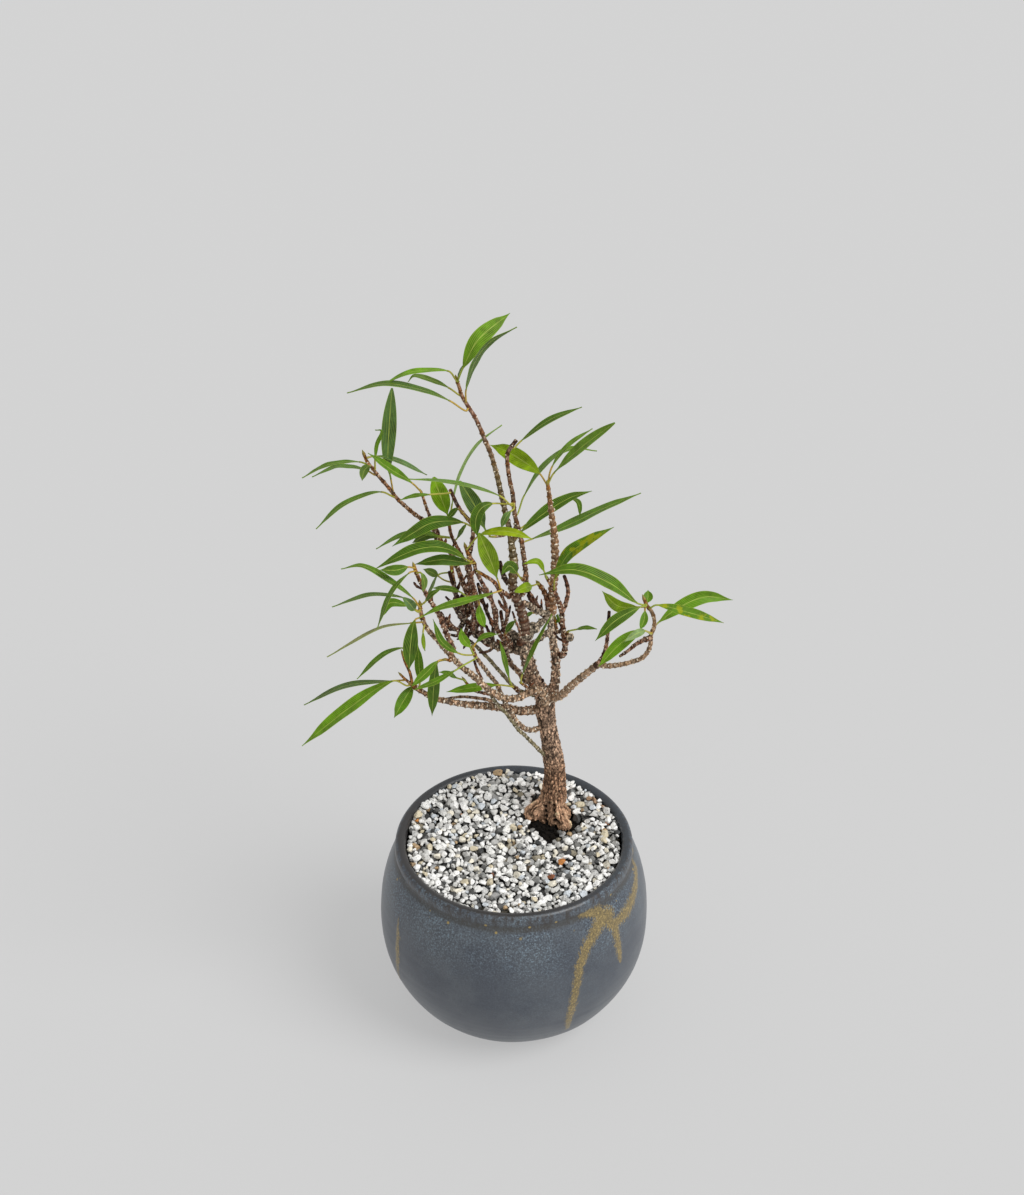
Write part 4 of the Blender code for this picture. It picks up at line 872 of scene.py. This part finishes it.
# The trunk: its parts are melted into one skin, then cracked into scales
path = [FOOT - Vector((0, 0, ROOT_DEPTH)), *paths["trunk"]]
places, radii = swept(path, [ROOT_RADIUS, *(radius for *_, radius in TRUNK)], 60)
radii = [radius * MM for radius in radii]
radii[-1] *= 0.6
parts = [tube(places, radii, 20, old_bark, [BARKS["old"]] * len(places))]
for x, y, radius in LOBES:
    out = Vector((x, y, 0)) * MM
    path = [FOOT + out * share + Vector((0, 0, height * MM)) for share, height in
            ((0.1, 15), (0.5, 8), (0.85, 4.2), (1.04, 1.6), (1.0, -1.4))]
    places, radii = swept(path, [share * radius * MM for share in (0.55, 0.85, 1.02, 1.08, 0.7)], 14)
    parts.append(tube(places, radii, 14, old_bark, [BARKS["flare"]] * 15))
for *point, radius in KNOTS:
    select()
    bpy.ops.mesh.primitive_ico_sphere_add(subdivisions=3, radius=radius * MM, location=sight(*point))
    bpy.ops.object.transform_apply(location=True, rotation=True, scale=True)
    parts.append(bpy.context.object)
limbs = {name: limb(name) for name in branches}
for name in TRUNK_BRANCHES:
    places, radii, *_, paint = limbs[name]
    parts.append(tube(places, radii, 14, old_bark, paint))
trunk = joined("trunk", parts)
step = trunk.modifiers.new("skin", "REMESH")
step.mode, step.voxel_size = "VOXEL", SKIN_CELL
step = trunk.modifiers.new("melt", "SMOOTH")
step.factor, step.iterations = 0.6, 3
apply_all(trunk)
grown, normals = get_points(trunk), get_points(trunk, "normal")
skin = BVHTree.FromObject(trunk, bpy.context.evaluated_depsgraph_get())
pits = np.array([seen_on(skin, across, down) for across, down, _ in HOLLOWS])
sizes = np.array([size for _, _, size in HOLLOWS]) * MM
colours = np.ones((len(grown), 4))
old, base, flare, pale, pit_shade = (np.array(BARKS[name]) for name in ("old", "base", "flare", "burl", "hollow"))
for at, (point, normal) in enumerate(zip(grown, normals)):
    x, y, z = point
    tall = (z - FOOT.z) / MM
    low = clamp((17 - tall) / 9)
    knotty = exp(-((tall - KNOT_TALL) / KNOT_REACH)**2)
    # Scales of the bark, each with its own height and shade
    gaps, middles = noise.voronoi(Vector((x * 850, y * 850, z * 380)))
    crack = max(0.0, 1 - (gaps[1] - gaps[0]) / 0.3) * (1 - 0.65 * low)
    own = lumps(middles[0], 5.3)
    # Upright folds, deepest at the foot
    turn = atan2(y - FOOT.y, x - FOOT.x) + 0.25 * lumps(point, 260)
    fold = lumps((cos(turn) * 3.4, sin(turn) * 3.4, z * 45))
    rut = max(0.0, 1 - abs(fold) / 0.16)
    push = 0.3 * own - 0.3 * crack + 0.2 * lumps(point, 1500) * (1 + low) + low * (1.5 * fold - 1.5 * rut)
    push = (push + 1.6 * knotty * max(0.0, lumps(point, 330))) * (0.6 if tall > 70 else 1.0)
    gaps = np.linalg.norm(pits - point, axis=1) / sizes
    pit = exp(-gaps.min()**2)
    grown[at] = point + normal * (push * MM - 1.5 * sizes[gaps.argmin()] * pit)
    paint = old + (pale - old) * knotty + (base - old) * clamp((38 - tall) / 12)
    paint += (flare - paint) * clamp((14.5 - tall + 5 * fold) / 4)
    paint *= (1 + 1.1 * own * (1 - 0.5 * low)) * (1 - 0.6 * crack)
    # Painted shade and light at the foot: darker in the ruts between its lobes, lighter on their raised folds
    paint *= (1 - 0.85 * rut * low) * (1 + 0.6 * fold * low)
    paint *= 1 - 0.35 * max(0.0, 1 - abs(fold) / 0.06) * (1 - low)
    # Painted light: above 70 mm the trunk is lighter on its right side, towards the key light, and darker on
    # its left
    paint *= 1 + 0.15 * max(-1.0, min(1.0, (x - FOOT.x) / (6 * MM) + 0.5)) * clamp((tall - 70) / 10)
    # Painted shade: near black in each pit
    colours[at] = paint + (pit_shade - paint) * min(1.0, pit * 1.6)
    colours[at, 3] = 1 - 0.6 * low
set_points(trunk, grown)
add_colour(trunk, np.clip(colours, 0, 1))
trunk.data.materials.clear()
trunk.data.materials.append(old_bark)
smooth(trunk)
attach(trunk, "root")
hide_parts("trunk_and_branches")

# Twigs: each is drawn along its own line and rooted in its parent. A bare end is blunt and
# healed, and short pruned spurs stand all over the inner ones.
twigs = []
for name, (places, radii, runs, nodes, split, paint) in limbs.items():
    _, spurs, _, _, leafy = branches[name]
    for spur in range(spurs):
        index = wood_rng.randrange(2, max(3, int(len(places) * 0.8)))
        root, ahead = places[index], heading(places, index)
        out = ahead.cross(Vector([wood_rng.gauss(0, 1) for _ in range(3)])).normalized()
        way = (ahead * wood_rng.uniform(0.2, 0.9) + out + Vector((0, 0, 0.45))).normalized()
        length, wide = wood_rng.uniform(*SPUR_LONG) * MM, wood_rng.uniform(*SPUR_WIDE) * MM
        path = [root, root + way * length * 0.5, root + (way + Vector((0, 0, 0.35))).normalized() * length]
        count = max(5, int(length / (0.9 * MM)))
        bumpy = [wide * (1.1 if step % 2 else 0.88) * (1 - 0.25 * step / count) for step in range(count)]
        ends = BARKS[wood_rng.choice(("dark", "red", "red", "dark"))]
        base = mixed(paint[index], BARKS["dark"], 0.4)
        twigs.append(tube(spaced(path, count), bumpy + [0.35 * wide], 8, young_bark,
                          [mixed(base, ends, (step / count)**2) for step in range(count + 1)]))
    if name in TRUNK_BRANCHES:
        continue
    stop = len(places) if leafy is None else split + 1
    ends, wide, paint = places[:stop], radii[:stop], paint[:stop]
    if leafy is None:
        ahead = heading(places)
        ends += [places[-1] + ahead * out * radii[-1] for out in (0.45, 0.7)]
        wide += [radii[-1] * share for share in (0.86, 0.45)]
        paint += paint[-1:] * 2
    twigs.append(tube(ends, wide, 12 if wide[0] > 1.6 * MM else 10, young_bark, paint))
twigs = joined("twigs", twigs)
smooth(twigs, 60)

# Scars of fallen leaves: small raised pads of cream cork round each node


def plain_material(name, scale, low, high, dark, light, rough):
    """A material that takes each point's tone, made darker and lighter by a fine grain."""
    made, node, shader, where = new_material(name)
    grain = node("MapRange", node("TexNoise", where, Scale=scale, Detail=2.0), low, high, dark, light)
    tone = node("Attribute", attribute_name="tone")
    set_node(shader, Base_Color=node("Mix", 1.0, tone, grain, **TINT), Roughness=rough)
    return made


cork = plain_material("pale_scar_cork", 1500.0, 0.35, 0.55, 0.75, 1.0, 0.8)
select()
bpy.ops.mesh.primitive_ico_sphere_add(subdivisions=1, radius=1)
scar_blank = as_blank(bpy.context.object)
placings, colours = [], []
for name, (places, radii, runs, nodes, split, paint) in limbs.items():
    for at in nodes:
        index = min(range(len(runs)), key=lambda step: abs(runs[step] - at))
        if not 0 < index < len(runs) - 1:
            continue
        ahead = (places[index + 1] - places[index - 1]).normalized()
        side = ahead.orthogonal().normalized()
        front = side.cross(ahead)
        first = wood_rng.uniform(0, 2 * pi)
        pads = (2 if radii[index] < 1.2 * MM else 3) + (name in SCARRED)
        for pad in range(pads):
            turn = first + 2 * pi * pad / pads + wood_rng.uniform(-0.6, 0.6)
            out = side * cos(turn) + front * sin(turn)
            size = min(0.66 * MM, max(0.46 * MM, radii[index] * 0.46)) * wood_rng.uniform(0.7, 1.2)
            along = ahead * wood_rng.uniform(-0.5, 0.5) * MM
            placings.append((0, places[index] + along + out * (radii[index] * 0.95),
                             (size * 1.15, size * 0.6, size * 0.5),
                             Matrix((ahead.cross(out), ahead, out)).transposed().to_quaternion()))
            colours.append(mixed(BARKS["scar"], paint[index], wood_rng.uniform(0.0, 0.6)**1.6))
pads = scattered("leaf_scars", [scar_blank], placings, cork, colours)
smooth(pads)
for made in (twigs, pads):
    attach(made, "root")
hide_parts("trunk_and_branches")

# Leafy shoots: a young stem, its bud, and narrow leathery leaves on thin stalks. A leaf is waxy
# and green above, duller and paler below, with a pale midrib and fine ribs.
# The leaves of each shoot: green, seen width in pixels, the point where the blade starts, points
LEAVES = """
crown
light 17 1 458,380,9 463,368,9 478,340,14 510,313,24
dark 6 1 466,402,9 466,390,7 475,362,3 490,342,2 517,327,4
blue 3 0 458,378,11 461,371,13 464,364,14
bright 5 1 456,380,9 448,371,7 420,371,3 405,374,1 384,384,0
dull 5 1 459,395,12 449,388,13 430,380,16 414,376,18 408,382,18
dark 6 1 466,411,8 450,401,5 425,391,2 385,384,-3 347,393,-6
upper_left
grey 15 1 393,492,19 391,480,20 388,462,22 389,430,26 392,388,32
mid 4 1 375,470,18 375,460,19 376,445,21 381,431,22 375,430,22
mid 4 1 367,464,18 360,462,16 345,462,12 325,466,8 302,478,4
mid 4 1 375,475,18 368,471,20 352,467,24 335,467,28 312,477,30
dull 9 1 370,466,17 369,466,14 364,471,10 362,481,8
mid 5 1 394,497,18 382,492,15 365,495,11 340,507,6 316,529,2
blue 5 1 366,458,18 376,456,20 398,461,24 427,475,28
upper_twiglet
mid 8 1 421,492,16 412,483,14 390,469,10 368,453,6
mid_left
mid 4 1 449,493,15 430,494.5,12 415,496,10 400,500,8
dark 6 1 468,519,14 458,509,11 453,513,10 448,519,9
dark 14 1 471,526,12 463,522.5,10 447,521,8.5 430,523.5,7 413,533,5 392,546.5,2
tall_left
spring 18 1 449,521,18 448,516,18 441.5,499,20 433.5,477,23
fresh 3 1 450,521,18 452,505,19 459,475,22 476,445,25 502,425,27
mid 5 1 453,538,19 440,536,17 420,533,15 400,536,14 376,549,12
dull 9 1 452,538,19 438,537,19 428,535,18 412,543,18
dark 4 1 453.5,542,20 457,538.5,21 462,531,22 467,523,24
tall_middle
mid 4 1 512,506,8 500,496,4 470,486,-2 440,481,-6 408,479,-10
dark 12 1 511,504,9 493,503.5,4 483,507,1 477.5,514,0 475.5,524,0 477.5,537,0
grey 7 1 514,509,6 511,511,5 506,517,3 501,528,1
bright 5 1 518,513,13 524,496,17 545,465,22 570,449,24 597,451,25
dark 6 1 514,448,14 521,441,15 550,420,18 582,407,20
dark 11 0 521,532,14 545,513,20 570,498,24 592,491,26
mid 8 1 522,543,15 532,539,17 560,529,23 600,510,28 641,493,32
dark 5 2 520,529,15 545,513,24 570,499,28 578,503,28 580,516,27
tall_right
pale_lime 17 1 546,483,7 540,474,9 523,461,19 506,451,26 490,445,32
soft 4.5 1 548,482,6 552,467,7 567.5,446.5,11 592.5,428.5,14
soft 10 1 549,482,6 554,473,5 582,447,2 615,423,0
crown_spur
grey 16 1 491,536.5,10.5 486,531,10 476,508,10 459.5,481,8
front_left
dark 11 1 475,563,7 470,563.5,6.5 455,561,5 440,559.8,4 414,564.5,3
dark 12 1 471,562,7 465,558.5,5.5 450,550,3.5 432,547,1.5 410,552,-1 375,569,-3
gold 9 1 467,549,8 480,535,6 498,531,5 516,533,4 533.5,539.5,3
front_orange
lime 17.5 1 500,588,4 497.5,579.5,3 490,559,0 479,533,-5
bright 7 1 502,590,4 493,593,2 465,601,-5 440,608,-11 419,618,-16
middle_spur
dark 11 1 520,577.5,9 517,573,8 509,566,5 501,575,3
heart
mid 12 1 554,590,12 555,579,11 568,555,9 590,540,8 614,527,8
yellow 6 1 546,577,10 544,571,9 537,562,8 523,564,7
orange_tip
pale_lime 10 1 538,584,21 533,585.5,18 524,588,10 514.5,592,6
right_low
deep 13.5 1 645,605,-1 637,603,-2 610,583.5,-5 575,570,-4 539,575,-2
lime 12 1 645,607,1 637,607,2 618,606,4 602,591,6
dark 12 1 646,606,-2 640,607,-4 615,621,-9 595,641,-13
mid 10 1 647,606,2 647,603,3 648,597,5 648,590,7
mid 8 1 645,608,-1 645,611,-3 644,620,-6 640,630,-9
bright 13 1 652,633,-1 641,631,-5 620,644,-12 598,667,-17
sage 8 1 651,634,-2 645,631,-9 636,634,-14 624,642,-18
grass 14 1 655,626,1 659,622,3 680,607,8 705,597,12 733,600,14
mid 10 1 650,608,-1 657,605,-2 690,613,-4 724,623,-6
fork_spray
mid 4 1 569,631,13 576,629.5,12 585,628,11 597,629,10
dark_twiglet
mid 4 0 556,622,14 558,619,13 558,614,12
back_spur
mid 4 1 539,613,34 533,613,34 529,614.5,34 525,616,34
knot_leaf
dark 6 0 506,632,10 510,627,9 516,620,9
olive_spur
bright 9 1 512,686.5,11 497,685,9 470,688,9 446,692,7
mid 5 1 511,684,11 509,678,10 503,657,8 500,641,7
stem_spur
bright 4 1 521,681,9 522,675,8 535,647,6 552,614,8
speckled_stub
mid 5 1 464,680,14 457,678,13 449,674,11 439,672,9
speckled_spur
mid 9 1 445,659.5,-11 438,661,-13 427,672,-16 411,687,-19
dark 12 1 444,660,-10 437,663,-8 434,685,-6 432,716,-4
speckled_up
dark 11 1 414,568,-10 408,567,-11 397,570,-14 380,570,-18
mid 5 1 415,571,-10 409,573,-13 392,592,-21 377,629,-27
dull 6 1 417,573,-10 421,573,-13 424,582,-14 423,592,-15
speckled
mid 6 1 420,608,-11 413,598,-13 390,581,-14 362,566,-14 341,569,-15
mid 9 1 419,611,-12 408,606,-14 390,603,-15 380,619,-16
mid 4 1 419,606,-9 405,598,-8 370,595,-6 332,607,-6
blue 10 1 419,612,-13 415,610,-16 409,603,-19 402,597,-21
straw 3 1 422,622,-11 411,623,-12 380,628,-13 327,657,-15
dark 15 1 421,617,-12 415,620,-14 411,640,-16 409,670,-17
lime 4 1 424,627,-12 423,632,-13 423,640,-14 425,651,-14
dark 5 1 420,606,-11 426,601,-12 432,594,-12 441,589,-11
loop
dark 7 1 473,655,1 458,653,-9 441,641,-12 433,619,-10
bright 9 1 473,653,1 470,647,-1 463,638,-3 461,628,-4
mid 5 1 473,648,1 476,643,2 485,636,4 498,634,6
mid 6 2 476,658,2 464,665,-7 456,670,-9 435,682,-14 414,690,-21
low_left
mid 9 1 418,689,-1 420,683,0 419,665,2 418,645,5
bright 12.5 1 408,686,-3 393,681,-5 352,706,-12 302,746,-20
dark 5.5 1 405,680,-3 392,681,-2 345,686,2 304,705,2
mid 13 1 416,684,0 413,686,1 404,700,-4 394,718,-10
mid 5 1 403,655,-3 403,648,-3 383,655,-5 357,679,-9
mid_spur
dark 6 1 466,596,10 460,592,9 448,589,7 432,588,5
hanging_spur
bright 9 1 479,602,10 479.5,605,8 480,614,6 485,628,5
dark_twig
dull 8 2 452,582,30 444,580,26 438,576,23 431,572,20 423,569,17
dull 3 1 451,572,31 438,575,25 432,587,20 424,604,15
"""
# Bare side stems in a shoot: radius in mm at the start and end, and points
SIDE_STEMS = {"low_left": [(0.75, 0.5, "410,673,-3 405,662,-3 402.5,654,-3"),
                           (0.7, 0.5, "405,679,-3 401,675,-4")]}
GREENS = dict(dark="#305c0c", mid="#4c7c0e", bright="#62960c", light="#649418", lime="#708f02",
              deep="#416d0c", pale_lime="#8cae02", fresh="#8cba48", soft="#679528", yellow="#84a804",
              blue="#4c7048", grey="#4a6e3c", dull="#567434", straw="#98974c", gold="#98ae00",
              spring="#74a008", grass="#56880c", sage="#7f9a68")
# Leaves with yellow blotches, and leaves whose broad end is the tip, by shoot and number
SPOTTED = {("heart", 0), ("right_low", 8)}
BLUNT = {("upper_left", 0), ("orange_tip", 0), ("tall_right", 2), ("tall_left", 0), ("crown_spur", 0),
         ("front_orange", 0)}
STALK_COLOURS = ("#a3b03c", "#b4b040", "#be9e3e")
BLADE_RATIO = 0.155
BLADE_WIDTH = (3.0 * MM, 9.5 * MM)
BLADE_THICK = 0.34 * MM
STALK_RADIUS = 0.42 * MM
SNAP = 0.9 * MM
ACROSS, ALONG = 8, 34

# A waxed, leathery upper side with a soft sheen, and a matt paler one below
leaf_skin, node, shader, where = new_material("waxy_fig_leaf")
under = node("Attribute", attribute_name="under", out="Fac")
axes = node("SeparateXYZ", node("UVMap", uv_map="blade"))
across = node("Math", node("Math", axes, 0.5, operation="SUBTRACT"), operation="ABSOLUTE")
mottle = node("TexNoise", where, Scale=260.0, Detail=3.0, Roughness=0.6)
mottle = node("MapRange", mottle, 0.3, 0.7, 0.52, 1.3)
# Side ribs leave the midrib at a low angle, about four to the half blade. Their pale lines are partly the
# veins and partly a painted highlight of light between the raised veins
along = node("Math", axes.node.outputs["Y"], 32.0, **TIMES)
ribs = node("Math", node("Math", across, -58.0, along, operation="MULTIPLY_ADD"), operation="SINE")
blotch = node("MapRange", node("TexNoise", where, Scale=210.0, Detail=3.0), 0.53, 0.61, 0.0, 0.8)
blotch = node("Math", blotch, node("Attribute", attribute_name="spotted", out="Fac"), **TIMES)
body = node("Mix", 1.0, node("Attribute", attribute_name="tone"), mottle, **TINT)
for mask, code in ((node("MapRange", ribs, 0.2, 1.0, 0.0, 0.6), "#9cb244"),
                   (node("MapRange", across, 0.042, 0.012, 0.0, 0.68, **SOFT), "#b4c25c"),
                   (node("MapRange", across, 0.44, 0.49, 0.0, 0.6), "#9cb43c"), (blotch, "#a3a814")):
    body = node("Mix", mask, body, linear(code), **OVER)
body = node("Mix", under, body, node("Mix", 0.35, body, linear("#8ba468"), **OVER), **OVER)
set_node(shader, Base_Color=body, Roughness=node("MapRange", under, 0.0, 1.0, 0.42, 0.65),
         Specular_IOR_Level=0.15, Normal=node("Bump", Height=ribs, Strength=0.25, Distance=0.1 * MM))
stalk_skin = plain_material("green_stalk", 500.0, 0.3, 0.7, 0.75, 1.15, 0.45)

# One flat blade as a blank, from edge to edge and base to tip, a unit thick
select()
bpy.ops.mesh.primitive_grid_add(x_subdivisions=ACROSS, y_subdivisions=ALONG, size=2)
blank = bpy.context.object
blank.data.uv_layers[0].name = "blade"
step = blank.modifiers.new("thickness", "SOLIDIFY")
step.thickness, step.offset = 1.0, 0.0
apply_all(blank)
blade_points = get_points(blank)


def blade_shape(share):
    """Half width of a willow-like blade, as a share of the greatest, along its length. The tip
    is drawn out."""
    return max(0.03, sin(pi * share**0.92))**0.85 * (1 - 0.55 * max(0.0, (share - 0.8) / 0.2))


leaf_rng = random.Random(31)


def leaf(seen, blade_from, points, holder, code, spots, blunt):
    """A stalk that starts in the stem, and a thin blade bent along its own line: folded along
    the midrib, a little waved at the edges, and turned to show the width that was seen."""
    path = [nearest(holder, points[0], SNAP), *points]
    reach = lengths(path)
    start = reach[blade_from + 1]
    length = reach[-1] - start
    blade = path[blade_from + 1:]
    seen_width = seen * (blade[len(blade) // 2] - EYE).dot(AHEAD) / FOCAL_PX
    width = max(seen_width, min(BLADE_WIDTH[1], max(BLADE_WIDTH[0], BLADE_RATIO * length)))
    tilt = acos(seen_width / width)
    wave, phase, turns = leaf_rng.uniform(0.02, 0.09), leaf_rng.uniform(0, 6), leaf_rng.uniform(1.6, 3.2)
    fold, curl = leaf_rng.uniform(0.18, 0.38) * cos(tilt), leaf_rng.uniform(-0.05, 0.12) * cos(tilt)
    wave *= 0.3 + 0.7 * cos(tilt)

    def at_share(share):
        return on_curve(path, start + length * share)

    table, side = [], None
    for row in range(ALONG + 1):
        share = row / ALONG
        place = at_share(share)
        ahead = (at_share(min(1, share + 0.03)) - at_share(max(0, share - 0.03))).normalized()
        look = (place - EYE).normalized()
        before, side = side, ahead.cross(look).normalized()
        if side.dot(before or UP + RIGHT * 0.3) < 0:
            side.negate()
        away = (look - ahead * look.dot(ahead)).normalized()
        edge = side * cos(tilt) + away * sin(tilt)
        face = edge.cross(ahead).normalized()
        if face.dot(look) > 0:
            face.negate()
        half = max(STALK_RADIUS * 0.9 * (1 - share),
                   width / 2 * blade_shape(1.02 - share if blunt else share))
        table.append((place, edge, face, half, share))
    shaped = np.empty_like(blade_points)
    for at, (x, y, z) in enumerate(blade_points):
        place, edge, face, half, share = table[min(ALONG, max(0, round((y + 1) / 2 * ALONG)))]
        lift = fold * abs(x)**1.25 + curl * x * x
        lift += wave * sin(phase + share * turns * 2 * pi + (0 if x > 0 else 2.1)) * x * x
        lift -= 0.06 * exp(-(x / 0.1)**2)
        thick = BLADE_THICK * (1 - 0.55 * x * x) * (1.5 if abs(x) < 0.1 else 1)
        shaped[at] = place + edge * (half * x) + face * (half * lift + z * thick)
    made = add_object("blade", blank.data.copy())
    set_points(made, shaped)
    if table[0][1].cross(table[0][2]).dot(at_share(0.1) - table[0][0]) > 0:
        made.data.flip_normals()
    store(made, "under", np.where(blade_points[:, 2] < 0, 1.0, 0.0))
    store(made, "spotted", np.full(len(shaped), float(spots)))
    shift = leaf_rng.uniform(0.88, 1.12)
    paint = np.array([part * shift for part in linear(GREENS[code])[:3]] + [1.0])
    near = np.clip(1 - (blade_points[:, 1] + 1) / 2 / 0.16, 0, 1)[:, None] * 0.45
    add_colour(made, paint * (1 - near) + np.array(linear("#8a9a2e")) * near)
    made.data.materials.append(leaf_skin)
    count = max(4, int(start / (0.9 * MM)))
    wide = [STALK_RADIUS * (1.35 - 0.45 * min(1, at / 2)) for at in range(count + 1)]
    hue = linear(leaf_rng.choice(STALK_COLOURS))
    tones = [mixed(linear("#ae923c"), hue, min(1, at / 3)) for at in range(count + 1)]
    return [made, tube(spaced(path, count, start * 1.06), wide, 8, stalk_skin, tones)]


leaves = {}
for row in LEAVES.split("\n")[1:-1]:
    tone, *words = row.split()
    if words:
        places = [sight(*point) for point in rows(" ".join(words[2:]))]
        leaves[shoot].append((tone, float(words[0]), int(words[1]), places))
    else:
        shoot = tone
        leaves[shoot] = []

for name, blades in leaves.items():
    places, radii, runs, nodes, split, paint = limbs[name]
    stem = places[split:]
    parts = [tube(stem, radii[split:], 10, young_bark, paint[split:])]
    ends = [] if name in DARK_TIPS else [(stem, radii[-1])]
    holders = [stem]
    for first, last, points in SIDE_STEMS.get(name, []):
        side = [sight(*point) for point in rows(points)]
        side.insert(0, nearest(stem, side[0], SNAP))
        count = max(5, int(lengths(side)[-1] / LIMB_STEP))
        side = spaced(side, count)
        wide = [(first + (last - first) * at / count) * MM for at in range(count + 1)]
        parts.append(tube(side, wide, 8, young_bark, [paint[-1]] * (count + 1)))
        holders.append(side)
        ends.append((side, 0.5 * MM))
    for line, wide in ends:
        bud = [line[-1] + heading(line) * out * MM for out in (-0.3, 0.4, 1.1, 1.9, 2.6)]
        parts.append(tube(bud, [wide * share for share in (0.9, 1.1, 0.85, 0.45, 0.1)], 8, stalk_skin,
                          [mixed(linear("#a5652c"), linear("#8c8a34"), at / 4) for at in range(5)]))
    for at, (tone, seen, blade_from, points) in enumerate(blades):
        holder = min(holders, key=lambda line: (nearest(line, points[0], SNAP) - points[0]).length)
        parts += leaf(seen, blade_from, points, holder, tone, (name, at) in SPOTTED, (name, at) in BLUNT)
    shoot = joined("leaves_" + name, parts)
    smooth(shoot, 60)
    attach(shoot, "root")
    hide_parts("shoot_" + name)
bpy.data.objects.remove(blank)
